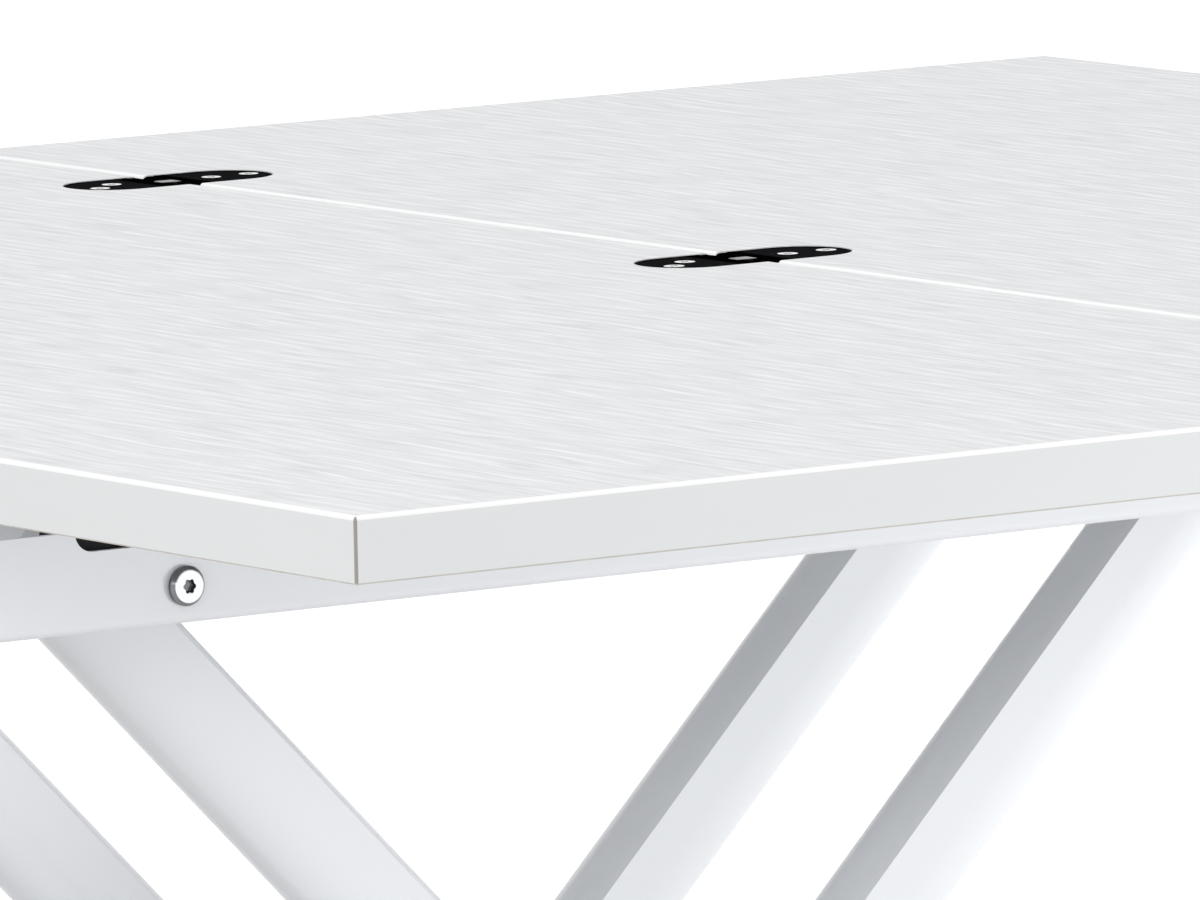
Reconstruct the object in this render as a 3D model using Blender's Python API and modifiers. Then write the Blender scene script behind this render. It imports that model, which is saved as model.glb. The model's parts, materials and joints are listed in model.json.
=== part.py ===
"""A convertible lift-top table: two hinged leaves that turn and unfold on a scissor-leg base.

Metres, +Z up. X runs across the seam between the leaves, Y along it.
The origin is on the floor under the middle of the opened top.
"""

import math

import bpy
import bmesh
from mathutils import Matrix, Vector

# Driving dimensions of the top
HEIGHT = 0.740
LEAF_LENGTH = 1.200
LEAF_WIDTH = 0.600
LEAF_THICK = 0.025
BAND_THICK = 0.002
TOP_EDGE_ROUND = 0.0018
SEAM_GAP = 0.0036
GAP = 0.0003

# Fold hinges
HINGE_PIN_DEPTH = 0.0035
CLOSED_GAP = 0.0006
HINGE_HALF_LENGTH = 0.050
HINGE_WIDTH = 0.044
HINGE_END_INSET = 0.170
WING_THICK = 0.0025
KNUCKLE_RADIUS = 0.0030
HINGE_PIN_RADIUS = 0.0013
LINK_WIDTH = 0.008
POCKET_DEPTH = 0.0085
SCREW_PLACES = (0.0148, 0.036)
SCREW_SHANK_RADIUS = 0.0018
SCREW_LENGTH = 0.014

# Upper frame
RAIL_OUT = 0.225
RAIL_DROP = 0.0365
RAIL_HEIGHT = 0.030
RAIL_EAR_RISE = 0.010
RAIL_EAR_LENGTH = 0.0725
RAIL_DEPTH = 0.022
RAIL_WALL = 0.0025
RAIL_CORNER = 0.004
RAIL_OVERHANG = 0.115
RAIL_ROLLER_OVERHANG = 0.036
CROSS_WIDTH = 0.040
CROSS_HEIGHT = 0.016
CROSS_LENGTH = 0.520
CROSS_WALL = 0.002
CROSS_CORNER = 0.003
NEAR_CROSS_X = -0.330
MIDDLE_CROSS_X = -0.090
FAR_CROSS_INSET = 0.1076
GLIDE_WIDTH = 0.020
GLIDE_EDGE = 0.002
GLIDE_INSET = 0.040

# Swivel of the top
PLATE_WIDTH = 0.110
PLATE_THICK = 0.004
DISC_RADIUS = 0.050
DISC_THICK = 0.003
SWIVEL_BOLT_RADIUS = 0.006
SWIVEL_HEAD_RADIUS = 0.011
SWIVEL_HEAD_HEIGHT = 0.006
SWIVEL_BOLT_INSERT = 0.012

# Scissor legs
SCISSOR_X = -0.120
HALF_SPREAD = 0.307
LEG_WIDTH = 0.046
LEG_THICK = 0.030
LEG_WALL = 0.002
LEG_CORNER = 0.006
OUTER_LEG_Y = 0.124
LEG_SIDE_GAP = 0.012
SHAFT_RADIUS = 0.007
BUSH_WALL = 0.0025
BUSH_FLANGE = 0.004
BUSH_FLANGE_THICK = 0.0015
CROSS_BAR_RADIUS = 0.011
CROSS_BAR_PLACE = 0.300
COLLAR_RADIUS = 0.014
LIFT_TURN = 29.0
CENTRE_BOLT_RADIUS = 0.006
CENTRE_HEAD_RADIUS = 0.011
CENTRE_HEAD_HEIGHT = 0.004
AXLE_RADIUS = 0.006
AXLE_SLEEVE_WALL = 0.003
ROLLER_RADIUS = 0.0118
ROLLER_WIDTH = 0.014
AXLE_END_PLAY = 0.001
BOLT_HEAD_RADIUS = 0.0079
BOLT_HEAD_HEIGHT = 0.0034
BOLT_CHAMFER = 0.0016
BOLT_SHANK_RADIUS = 0.004
BOLT_INSERT = 0.020
SOCKET_RADIUS = 0.0026
SOCKET_DEPTH = 0.0022

# Gas spring
SPRING_RADIUS = 0.011
ROD_RADIUS = 0.005
EYE_RADIUS = 0.017
EYE_WIDTH = 0.018
SPRING_BODY_LENGTH = 0.340
SPRING_ROD_LENGTH = 0.300
EYE_JOIN = 0.014

# Floor base
FOOT_PAD_RADIUS = 0.014
FOOT_PAD_HEIGHT = 0.005
FOOT_PAD_INSET = 0.030
FOOT_WIDTH = 0.050
FOOT_HEIGHT = 0.022
FOOT_LENGTH = 0.700
FOOT_WALL = 0.002
FOOT_CORNER = 0.004
FOOT_CLEAR = 0.006

# How finely round shapes are divided
ROUND_SIDES = 20
SMALL_SIDES = 16
HOLE_SIDES = 12
SOCKET_SIDES = 6
END_STEPS = 12
SWEEP_STEPS = 6
FOLD_STEPS = 4

# Colours
DECOR_WHITE = (0.80, 0.81, 0.82)
BAND_WHITE = (0.77, 0.78, 0.79)
FRAME_WHITE = (0.82, 0.84, 0.87)
BLACK = (0.012, 0.012, 0.013)
CHROME = (0.75, 0.76, 0.78)
NYLON = (0.70, 0.70, 0.68)
STEEL = (0.45, 0.46, 0.48)

# Heights that follow from the sizes above
UNDERSIDE = HEIGHT - LEAF_THICK
RAIL_TOP = UNDERSIDE - RAIL_DROP
RAIL_BOTTOM = RAIL_TOP - RAIL_HEIGHT
UPPER_PIVOT_Z = RAIL_TOP - RAIL_HEIGHT / 2
FOOT_TOP = FOOT_PAD_HEIGHT + GAP + FOOT_HEIGHT
FLOOR_RAIL_BOTTOM = FOOT_TOP + GAP
LOWER_PIVOT_Z = FLOOR_RAIL_BOTTOM + RAIL_HEIGHT / 2
CENTRE_Z = (UPPER_PIVOT_Z + LOWER_PIVOT_Z) / 2
HALF_RISE = (UPPER_PIVOT_Z - LOWER_PIVOT_Z) / 2
LEG_ANGLE = math.atan2(HALF_SPREAD, HALF_RISE)
LEG_HALF = math.hypot(HALF_SPREAD, HALF_RISE)
FIXED_X = SCISSOR_X - HALF_SPREAD
ROLLER_X = SCISSOR_X + HALF_SPREAD
LOWERED_ROLLER_X = FIXED_X + 2 * LEG_HALF * math.sin(LEG_ANGLE + math.radians(LIFT_TURN))
RAIL_LOW_X = FIXED_X - RAIL_OVERHANG
RAIL_HIGH_X = LOWERED_ROLLER_X + RAIL_ROLLER_OVERHANG
FAR_CROSS_X = RAIL_HIGH_X - FAR_CROSS_INSET
FLOOR_LOW_X = FIXED_X - LEG_WIDTH / 2 - FOOT_CLEAR - FOOT_WIDTH
FLOOR_HIGH_X = LOWERED_ROLLER_X + LEG_WIDTH / 2 + FOOT_CLEAR + FOOT_WIDTH
INNER_LEG_Y = OUTER_LEG_Y - LEG_THICK - LEG_SIDE_GAP
HINGE_PIN_X = HINGE_PIN_DEPTH + CLOSED_GAP / 2
HINGE_YS = (HINGE_END_INSET - LEAF_LENGTH / 2, 0.0, LEAF_LENGTH / 2 - HINGE_END_INSET)
PIN_Z = HEIGHT - HINGE_PIN_DEPTH
TURN_OFFSET = (LEAF_WIDTH / 2 + SCISSOR_X) / 2
TURN_X = SCISSOR_X - TURN_OFFSET
TURN_Y = TURN_OFFSET
CROSS_BOTTOM = RAIL_TOP + RAIL_EAR_RISE + GAP
CROSS_TOP = CROSS_BOTTOM + CROSS_HEIGHT
SPRING_Z = CENTRE_Z - CROSS_BAR_PLACE * math.cos(LEG_ANGLE)
SPRING_REACH = CROSS_BAR_PLACE * math.sin(LEG_ANGLE)

for old in list(bpy.data.objects):
    bpy.data.objects.remove(old, do_unlink=True)

table = bpy.data.collections.new("convertible_lift_top_table")
cutters = bpy.data.collections.new("cutters")
bpy.context.scene.collection.children.link(table)
bpy.context.scene.collection.children.link(cutters)
materials = {}


def finish_of(name, colour, roughness, metallic):
    """A plain painted, plastic or metal finish."""
    if name not in materials:
        made = bpy.data.materials.new(name)
        made.use_nodes = True
        shader = made.node_tree.nodes["Principled BSDF"]
        shader.inputs["Base Color"].default_value = (*colour, 1)
        shader.inputs["Roughness"].default_value = roughness
        shader.inputs["Metallic"].default_value = metallic
        materials[name] = made
    return materials[name]


FINISHES = {
    "decor": (DECOR_WHITE, 0.45, 0),
    "band": (BAND_WHITE, 0.4, 0),
    "paint": (FRAME_WHITE, 0.25, 0),
    "black": (BLACK, 0.4, 0),
    "black_steel": (BLACK, 0.3, 0.6),
    "chrome": (CHROME, 0.12, 1),
    "steel": (STEEL, 0.35, 1),
    "nylon": (NYLON, 0.5, 0),
}


def pivot(name, place):
    """An empty on a joint's axis, which the body's pieces hang from."""
    empty = bpy.data.objects.new(name, None)
    empty.location = place
    empty.empty_display_size = 0.03
    table.objects.link(empty)
    return empty


bodies = {
    "base": pivot("base_origin", (0, 0, 0)),
    "inner": pivot("inner_legs_axis", (FIXED_X, 0, LOWER_PIVOT_Z)),
    "outer": pivot("outer_legs_axis", (SCISSOR_X, 0, CENTRE_Z)),
    "upper": pivot("upper_frame_axis", (FIXED_X, 0, UPPER_PIVOT_Z)),
    "upper_rollers": pivot("upper_rollers_axis", (ROLLER_X, 0, UPPER_PIVOT_Z)),
    "floor_rollers": pivot("floor_rollers_axis", (ROLLER_X, 0, LOWER_PIVOT_Z)),
    "cylinder": pivot("gas_spring_cylinder_axis", (SCISSOR_X - SPRING_REACH, 0, SPRING_Z)),
    "rod": pivot("gas_spring_rod_axis", (SCISSOR_X + SPRING_REACH, 0, SPRING_Z)),
    "top": pivot("top_turn_axis", (TURN_X, TURN_Y, UNDERSIDE)),
    "links": pivot("near_fold_axis", (-HINGE_PIN_X, 0, PIN_Z)),
    "far": pivot("far_fold_axis", (HINGE_PIN_X, 0, PIN_Z)),
}


def keep(piece, name, body, finish):
    """Names a finished piece, colours it and hangs it from its body."""
    for held in list(piece.users_collection):
        held.objects.unlink(piece)
    table.objects.link(piece)
    piece.name = name
    piece.data.name = name
    piece.data.materials.clear()
    piece.data.materials.append(finish_of(finish, *FINISHES[finish]))
    bpy.context.view_layer.update()
    piece.parent = bodies[body]
    piece.matrix_parent_inverse = bodies[body].matrix_world.inverted()
    return piece


def box(low, high, edge=0.0):
    """A box between two corners, with its edges rounded by a Bevel."""
    low, high = Vector(low), Vector(high)
    bpy.ops.mesh.primitive_cube_add(size=1, location=(low + high) / 2)
    piece = bpy.context.object
    piece.data.transform(Matrix.Diagonal((*(high - low), 1)))
    if edge:
        bevel = piece.modifiers.new("edges", "BEVEL")
        bevel.width = edge
        bevel.segments = 2
    return piece


def facing(place, axis):
    """A frame at a place whose local Z points along an axis."""
    return Matrix.Translation(place) @ Vector(axis).to_track_quat("Z", "Y").to_matrix().to_4x4()


def upright(place):
    """A frame at a place for an outline that stands in the X-Z plane, thick along Y."""
    return Matrix.Translation(place) @ Matrix.Rotation(math.pi / 2, 4, "X")


def turned(profile, place, axis=(0, 0, 1), sides=ROUND_SIDES):
    """A turned piece: radius and height pairs down its outer side, spun about an axis."""
    mesh = bpy.data.meshes.new("turned")
    points = [(radius, 0, height) for radius, height in profile]
    count = len(points)
    closes = count if profile[0][0] > 0 else count - 1
    mesh.from_pydata(points, [(i, (i + 1) % count) for i in range(closes)], [])
    piece = bpy.data.objects.new("turned", mesh)
    table.objects.link(piece)
    piece.matrix_world = facing(place, axis)
    screw = piece.modifiers.new("turn", "SCREW")
    screw.steps = sides
    screw.render_steps = sides
    screw.use_merge_vertices = True
    screw.merge_threshold = 0.00001
    screw.use_smooth_shade = True
    return piece


def rod_of(radius, low, high, place, axis=(0, 1, 0), sides=ROUND_SIDES):
    """A plain round rod from low to high along an axis."""
    return turned([(0, high), (radius, high), (radius, low), (0, low)], place, axis, sides)


def ring_of(inner, outer, low, high, place, axis=(0, 1, 0), sides=ROUND_SIDES):
    """A plain ring from low to high along an axis."""
    return turned([(inner, high), (outer, high), (outer, low), (inner, low)], place, axis, sides)


def rounded(width, height, corner, steps=3):
    """A rectangle's outline with round corners."""
    points = []
    for sx, sy, start in ((1, 1, 0), (-1, 1, 90), (-1, -1, 180), (1, -1, 270)):
        for step in range(steps + 1):
            turn = math.radians(start + 90 * step / steps)
            points.append((sx * (width / 2 - corner) + corner * math.cos(turn),
                           sy * (height / 2 - corner) + corner * math.sin(turn)))
    return points


def prism(outlines, low, high, frame):
    """Flat outlines, the second and later ones holes, made solid from low to high along local Z."""
    flat = bpy.data.curves.new("outline", "CURVE")
    flat.dimensions = "2D"
    flat.fill_mode = "BOTH"
    flat.extrude = (high - low) / 2
    for outline in outlines:
        spline = flat.splines.new("POLY")
        spline.points.add(len(outline) - 1)
        for point, (x, y) in zip(spline.points, outline):
            point.co = (x, y, 0, 1)
        spline.use_cyclic_u = True
    drawn = bpy.data.objects.new("outline", flat)
    table.objects.link(drawn)
    bpy.context.view_layer.update()
    graph = bpy.context.evaluated_depsgraph_get()
    mesh = bpy.data.meshes.new_from_object(drawn.evaluated_get(graph))
    bpy.data.objects.remove(drawn, do_unlink=True)
    edit = bmesh.new()
    edit.from_mesh(mesh)
    bmesh.ops.remove_doubles(edit, verts=edit.verts, dist=0.000001)
    bmesh.ops.recalc_face_normals(edit, faces=edit.faces)
    edit.to_mesh(mesh)
    edit.free()
    mesh.transform(Matrix.Translation((0, 0, (low + high) / 2)))
    piece = bpy.data.objects.new("prism", mesh)
    piece.matrix_world = frame
    table.objects.link(piece)
    return piece


def tube(width, height, wall, corner, low, high, frame):
    """A rectangular steel tube along local Z."""
    inside = rounded(width - 2 * wall, height - 2 * wall, max(corner - wall, wall / 4))
    return prism([rounded(width, height, corner), inside], low, high, frame)


def cut(piece, cutter):
    """Takes a cutter's shape out of a piece."""
    for held in list(cutter.users_collection):
        held.objects.unlink(cutter)
    cutters.objects.link(cutter)
    cutter.name = "cutter"
    cutter.hide_render = True
    cutter.display_type = "WIRE"
    boolean = piece.modifiers.new("cut", "BOOLEAN")
    boolean.operation = "DIFFERENCE"
    boolean.object = cutter
    return piece


def union(first, second):
    """Joins two overlapping shapes into one body."""
    for held in list(second.users_collection):
        held.objects.unlink(second)
    cutters.objects.link(second)
    second.name = "joined_shape"
    second.hide_render = True
    second.display_type = "WIRE"
    boolean = first.modifiers.new("join", "BOOLEAN")
    boolean.operation = "UNION"
    boolean.object = second
    return first


X_AXIS = (1, 0, 0)
Y_AXIS = (0, 1, 0)
Z_AXIS = (0, 0, 1)
SIDES = (("near", -1), ("far", 1))

# Leaves, each with a pocket for every hinge wing and a hole for every screw
LEAF_INNER = SEAM_GAP / 2
BOARD_INNER = LEAF_INNER + BAND_THICK + GAP
BOARD_OUTER = LEAF_WIDTH - BAND_THICK - GAP
BOARD_HALF = LEAF_LENGTH / 2 - BAND_THICK - GAP


def span(side, a, b):
    """The low and high X of a stretch that runs outwards from the seam."""
    return sorted((side * a, side * b))


def leaf(side):
    """The board of one leaf, with the hinge pockets and screw holes cut in it."""
    low, high = span(side, BOARD_INNER, BOARD_OUTER)
    board = box((low, -BOARD_HALF, UNDERSIDE), (high, BOARD_HALF, HEIGHT))
    for y in HINGE_YS:
        low, high = span(side, 0, HINGE_HALF_LENGTH + GAP)
        half = HINGE_WIDTH / 2 + GAP
        pocket_floor = HEIGHT - WING_THICK - 2 * GAP
        cut(board, box((low, y - half, pocket_floor), (high, y + half, HEIGHT + WING_THICK)))
        low, high = span(side, 0, 2 * HINGE_PIN_X + KNUCKLE_RADIUS)
        cut(board, box((low, y - half, HEIGHT - POCKET_DEPTH), (high, y + half, HEIGHT + WING_THICK)))
        for reach in SCREW_PLACES:
            hole = rod_of(SCREW_SHANK_RADIUS + GAP, -SCREW_LENGTH - 2 * GAP, WING_THICK,
                          (side * reach, y, HEIGHT), Z_AXIS, HOLE_SIDES)
            cut(board, hole)
    if side < 0:
        cut(board, rod_of(SWIVEL_BOLT_RADIUS + GAP, -SWIVEL_BOLT_INSERT, SWIVEL_BOLT_INSERT + 2 * GAP,
                          (TURN_X, TURN_Y, UNDERSIDE), Z_AXIS, SMALL_SIDES))
    return board


def corners(low_x, high_x, half_y):
    """A plain rectangle's outline."""
    return [(low_x, -half_y), (high_x, -half_y), (high_x, half_y), (low_x, half_y)]


def edge_band(side):
    """The thin band round one leaf, mitred at its corners and eased along the seam."""
    low, high = span(side, LEAF_INNER, LEAF_WIDTH)
    half = LEAF_LENGTH / 2
    inside = corners(low + BAND_THICK, high - BAND_THICK, half - BAND_THICK)
    band = prism([corners(low, high, half), inside], UNDERSIDE, HEIGHT, Matrix.Identity(4))
    for y in HINGE_YS:
        opening = HINGE_WIDTH / 2 + GAP
        near, away = span(side, 0, 2 * HINGE_PIN_X)
        cut(band, box((near, y - opening, HEIGHT - POCKET_DEPTH), (away, y + opening, HEIGHT + BAND_THICK)))
    diagonal = TOP_EDGE_ROUND * math.sqrt(2)
    ease = box((-diagonal / 2, -LEAF_LENGTH, -diagonal / 2), (diagonal / 2, LEAF_LENGTH, diagonal / 2))
    ease.location = (side * LEAF_INNER, 0, HEIGHT)
    ease.rotation_euler = (0, math.radians(45), 0)
    return cut(band, ease)


for (name, side), body in zip(SIDES, ("top", "far")):
    keep(leaf(side), name + "_leaf", body, "decor")
    keep(edge_band(side), name + "_edge_band", body, "band")

# Fold hinges: a forked wing screwed into each leaf, and between them a link on two pins
EAR_INNER = LINK_WIDTH / 2 + GAP
WING_TOP = HEIGHT - GAP


def wing(side, y):
    """A flat wing with a round outer end and two knuckle ears at the pin."""
    reach = HINGE_HALF_LENGTH - HINGE_WIDTH / 2
    start = HINGE_PIN_X + KNUCKLE_RADIUS + GAP
    outline = [(side * start, -HINGE_WIDTH / 2)]
    for step in range(END_STEPS + 1):
        turn = math.radians(-90 + 180 * step / END_STEPS)
        outline.append((side * (reach + HINGE_WIDTH / 2 * math.cos(turn)),
                        HINGE_WIDTH / 2 * math.sin(turn)))
    outline.append((side * start, HINGE_WIDTH / 2))
    plate = prism([outline], WING_TOP - WING_THICK, WING_TOP, Matrix.Translation((0, y, 0)))
    for place in SCREW_PLACES:
        union(plate, rod_of(SCREW_SHANK_RADIUS, -SCREW_LENGTH, -WING_THICK / 2,
                            (side * place, y, HEIGHT), Z_AXIS, HOLE_SIDES))
    for way in (-1, 1):
        union(plate, ear(side, y, way))
    return plate


def ear(side, y, way):
    """One knuckle of a wing, round the pin, with a tail under the wing's plate."""
    outline = []
    for step in range(END_STEPS + 1):
        turn = math.radians(90 + 180 * step / END_STEPS)
        outline.append((side * (HINGE_PIN_X + KNUCKLE_RADIUS * math.cos(turn)),
                        KNUCKLE_RADIUS * math.sin(turn)))
    tail = side * (HINGE_PIN_X + 2 * KNUCKLE_RADIUS)
    outline.append((tail, -KNUCKLE_RADIUS))
    outline.append((tail, KNUCKLE_RADIUS))
    width = HINGE_WIDTH / 2 - EAR_INNER
    knuckle = prism([outline], -width / 2, width / 2,
                    upright((0, y + way * (EAR_INNER + width / 2), PIN_Z)))
    return cut(knuckle, rod_of(HINGE_PIN_RADIUS + GAP, -HINGE_WIDTH, HINGE_WIDTH,
                               (side * HINGE_PIN_X, y, PIN_Z), Y_AXIS, SMALL_SIDES))


def stadium(radius, half):
    """An outline with round ends, half long from its middle to each end's centre."""
    outline = []
    for way, start in ((1, -90), (-1, 90)):
        for step in range(END_STEPS + 1):
            turn = math.radians(start + 180 * step / END_STEPS)
            outline.append((way * half + radius * math.cos(turn), radius * math.sin(turn)))
    return outline


def link(y):
    """The middle link, round at both ends, with its two pins."""
    bar = prism([stadium(KNUCKLE_RADIUS, HINGE_PIN_X)], -LINK_WIDTH / 2, LINK_WIDTH / 2,
                upright((0, y, PIN_Z)))
    pin_half = HINGE_WIDTH / 2 - GAP
    for side in (-1, 1):
        union(bar, rod_of(HINGE_PIN_RADIUS, -pin_half, pin_half,
                          (side * HINGE_PIN_X, y, PIN_Z), Y_AXIS, SMALL_SIDES))
    return bar


for number, y in enumerate(HINGE_YS, 1):
    keep(wing(-1, y), f"near_hinge_wing_{number}", "top", "black_steel")
    keep(link(y), f"hinge_link_{number}", "links", "black_steel")
    keep(wing(1, y), f"far_hinge_wing_{number}", "far", "black_steel")

# Upper frame: side rails with raised ends, black strips in their cut-outs and cross tubes over them
RAIL_INNER_WALL = RAIL_OUT - RAIL_WALL
CUT_OUT_INSET = RAIL_EAR_LENGTH - RAIL_EAR_RISE


def along_x(side, bottom):
    """A frame for a rail: local X runs inwards from its outer face, local Y up, local Z along X."""
    inwards = Vector((0, -side, 0))
    up = Vector((0, 0, 1))
    along = inwards.cross(up)
    turn = Matrix((inwards, up, along)).transposed().to_4x4()
    return Matrix.Translation((0, side * RAIL_OUT, bottom)) @ turn


def channel(side, bottom, low, high):
    """A steel channel, open inwards, with its two outer corners rounded."""
    outline = [(RAIL_DEPTH, 0)]
    for centre, start in ((RAIL_CORNER, 270), (RAIL_HEIGHT - RAIL_CORNER, 180)):
        for step in range(FOLD_STEPS + 1):
            turn = math.radians(start - 90 * step / FOLD_STEPS)
            outline.append((RAIL_CORNER + RAIL_CORNER * math.cos(turn),
                            centre + RAIL_CORNER * math.sin(turn)))
    outline += [(RAIL_DEPTH, RAIL_HEIGHT), (RAIL_DEPTH, RAIL_HEIGHT - RAIL_WALL),
                (RAIL_WALL, RAIL_HEIGHT - RAIL_WALL), (RAIL_WALL, RAIL_WALL), (RAIL_DEPTH, RAIL_WALL)]
    if side > 0:
        low, high = -high, -low
    return prism([outline], low, high, along_x(side, bottom))


def rail_ear(side, end, way):
    """The raised end of a rail's outer wall, which sweeps down into the cut-out."""
    foot = -RAIL_HEIGHT / 2
    outline = [(0, foot), (0, RAIL_EAR_RISE)]
    for step in range(SWEEP_STEPS + 1):
        turn = math.radians(180 + 90 * step / SWEEP_STEPS)
        outline.append((RAIL_EAR_LENGTH + RAIL_EAR_RISE * math.cos(turn),
                        RAIL_EAR_RISE + RAIL_EAR_RISE * math.sin(turn)))
    outline.append((RAIL_EAR_LENGTH, foot))
    outline = [(way * x, z) for x, z in outline]
    middle = side * (RAIL_OUT - RAIL_WALL / 2)
    return prism([outline], -RAIL_WALL / 2, RAIL_WALL / 2, upright((end, middle, RAIL_TOP)))


def drill(pieces, radius, low, high, place, axis):
    """Bores the same round hole through several pieces."""
    for piece in pieces:
        cut(piece, rod_of(radius, low, high, place, axis, SMALL_SIDES))


CROSS_XS = (NEAR_CROSS_X, MIDDLE_CROSS_X, FAR_CROSS_X)
CROSS_NAMES = ("near_cross_tube", "middle_cross_tube", "far_cross_tube")
CROSS_Z = CROSS_BOTTOM + CROSS_HEIGHT / 2
rails = {}
strips = {}
for name, side in SIDES:
    rail = channel(side, RAIL_BOTTOM, RAIL_LOW_X, RAIL_HIGH_X)
    union(rail, rail_ear(side, RAIL_LOW_X, 1))
    union(rail, rail_ear(side, RAIL_HIGH_X, -1))
    rails[side] = rail
    edges = sorted((side * (RAIL_INNER_WALL - GAP), side * (RAIL_OUT - RAIL_DEPTH)))
    strips[side] = box((RAIL_LOW_X + CUT_OUT_INSET, edges[0], RAIL_TOP + GAP),
                       (RAIL_HIGH_X - CUT_OUT_INSET, edges[1], RAIL_TOP + RAIL_EAR_RISE))
cross_tubes = []
for x in CROSS_XS:
    frame = facing((x, 0, CROSS_Z), Y_AXIS)
    cross_tubes.append(tube(CROSS_WIDTH, CROSS_HEIGHT, CROSS_WALL, CROSS_CORNER,
                            -CROSS_LENGTH / 2, CROSS_LENGTH / 2, frame))

# Swivel plate on the near and middle cross tubes, with the washer and the spindle that the top turns on
PLATE_BOTTOM = CROSS_TOP + GAP
PLATE_TOP = PLATE_BOTTOM + PLATE_THICK
DISC_BOTTOM = UNDERSIDE - GAP - DISC_THICK
plate = box((NEAR_CROSS_X - CROSS_WIDTH / 2, TURN_Y - PLATE_WIDTH / 2, PLATE_BOTTOM),
            (MIDDLE_CROSS_X + CROSS_WIDTH / 2, TURN_Y + PLATE_WIDTH / 2, PLATE_TOP))
swivel_place = (TURN_X, TURN_Y, UNDERSIDE)
drill((plate,), SWIVEL_BOLT_RADIUS + GAP, -RAIL_DROP, 0, swivel_place, Z_AXIS)
keep(plate, "swivel_plate", "upper", "steel")
keep(ring_of(SWIVEL_BOLT_RADIUS + GAP, DISC_RADIUS, PLATE_TOP + GAP - UNDERSIDE,
             DISC_BOTTOM - GAP - UNDERSIDE, swivel_place, Z_AXIS), "swivel_washer", "upper", "nylon")
head_top = PLATE_BOTTOM - GAP - UNDERSIDE
disc_bottom = DISC_BOTTOM - UNDERSIDE
keep(turned([(0, SWIVEL_BOLT_INSERT), (SWIVEL_BOLT_RADIUS, SWIVEL_BOLT_INSERT), (SWIVEL_BOLT_RADIUS, -GAP),
             (DISC_RADIUS, -GAP), (DISC_RADIUS, disc_bottom), (SWIVEL_BOLT_RADIUS, disc_bottom),
             (SWIVEL_BOLT_RADIUS, head_top), (SWIVEL_HEAD_RADIUS, head_top),
             (SWIVEL_HEAD_RADIUS, head_top - SWIVEL_HEAD_HEIGHT), (0, head_top - SWIVEL_HEAD_HEIGHT)],
            swivel_place, Z_AXIS), "swivel_spindle", "top", "steel")

# Glide bars that the leaves rest on
for name, x in zip(("near", "middle", "far"), CROSS_XS):
    half = CROSS_LENGTH / 2 - GLIDE_INSET
    low = -half if x == FAR_CROSS_X else GLIDE_INSET - CROSS_LENGTH / 2
    high = half if x == FAR_CROSS_X else TURN_Y - PLATE_WIDTH / 2 - GLIDE_WIDTH
    keep(box((x - GLIDE_WIDTH / 2, low, CROSS_TOP + GAP),
             (x + GLIDE_WIDTH / 2, high, UNDERSIDE - GAP), GLIDE_EDGE), name + "_glide_bar", "upper", "black")


def bolt(side, place):
    """A chrome bolt with a chamfered flat head and a six-sided socket, its head outwards."""
    profile = [(0, BOLT_HEAD_HEIGHT), (BOLT_HEAD_RADIUS - BOLT_CHAMFER, BOLT_HEAD_HEIGHT),
               (BOLT_HEAD_RADIUS, BOLT_HEAD_HEIGHT - BOLT_CHAMFER), (BOLT_HEAD_RADIUS, GAP),
               (BOLT_SHANK_RADIUS, GAP), (BOLT_SHANK_RADIUS, -BOLT_INSERT), (0, -BOLT_INSERT)]
    made = turned(profile, place, (0, side, 0))
    socket = rod_of(SOCKET_RADIUS, BOLT_HEAD_HEIGHT - SOCKET_DEPTH, 2 * BOLT_HEAD_HEIGHT,
                    place, (0, side, 0), SOCKET_SIDES)
    return cut(made, socket)


def pivot_shaft(z, side_rails, collar_from):
    """A shaft between two side rails, with a sleeve to each rail and a bolt into each end."""
    wall = RAIL_INNER_WALL - GAP
    shaft = turned([(0, wall), (BUSH_OUTER, wall), (BUSH_OUTER, collar_from), (SHAFT_RADIUS, collar_from),
                    (SHAFT_RADIUS, -collar_from), (BUSH_OUTER, -collar_from), (BUSH_OUTER, -wall),
                    (0, -wall)], (FIXED_X, 0, z), Y_AXIS)
    made = []
    for side in (-1, 1):
        place = (FIXED_X, side * RAIL_OUT, z)
        drill((shaft, side_rails[side]), BOLT_SHANK_RADIUS + GAP, -BOLT_INSERT - 2 * GAP, BOLT_INSERT,
              place, (0, side, 0))
        made.append(bolt(side, place))
    return shaft, made


BUSH_OUTER = SHAFT_RADIUS + GAP + BUSH_WALL
OUTER_FACE = OUTER_LEG_Y + LEG_THICK / 2
INNER_FACE = INNER_LEG_Y + LEG_THICK / 2
BUSH_STAND = BUSH_FLANGE_THICK + 2 * GAP
upper_shaft, upper_bolts = pivot_shaft(UPPER_PIVOT_Z, rails, OUTER_FACE + BUSH_STAND)
keep(upper_shaft, "upper_pivot_shaft", "upper", "steel")
for (name, side), made in zip(SIDES, upper_bolts):
    keep(made, name + "_upper_bolt", "upper", "chrome")
for name, side in SIDES:
    keep(rails[side], name + "_side_rail", "upper", "paint")
    keep(strips[side], name + "_rail_strip", "upper", "black")
for name, cross in zip(CROSS_NAMES, cross_tubes):
    keep(cross, name, "upper", "paint")

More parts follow.
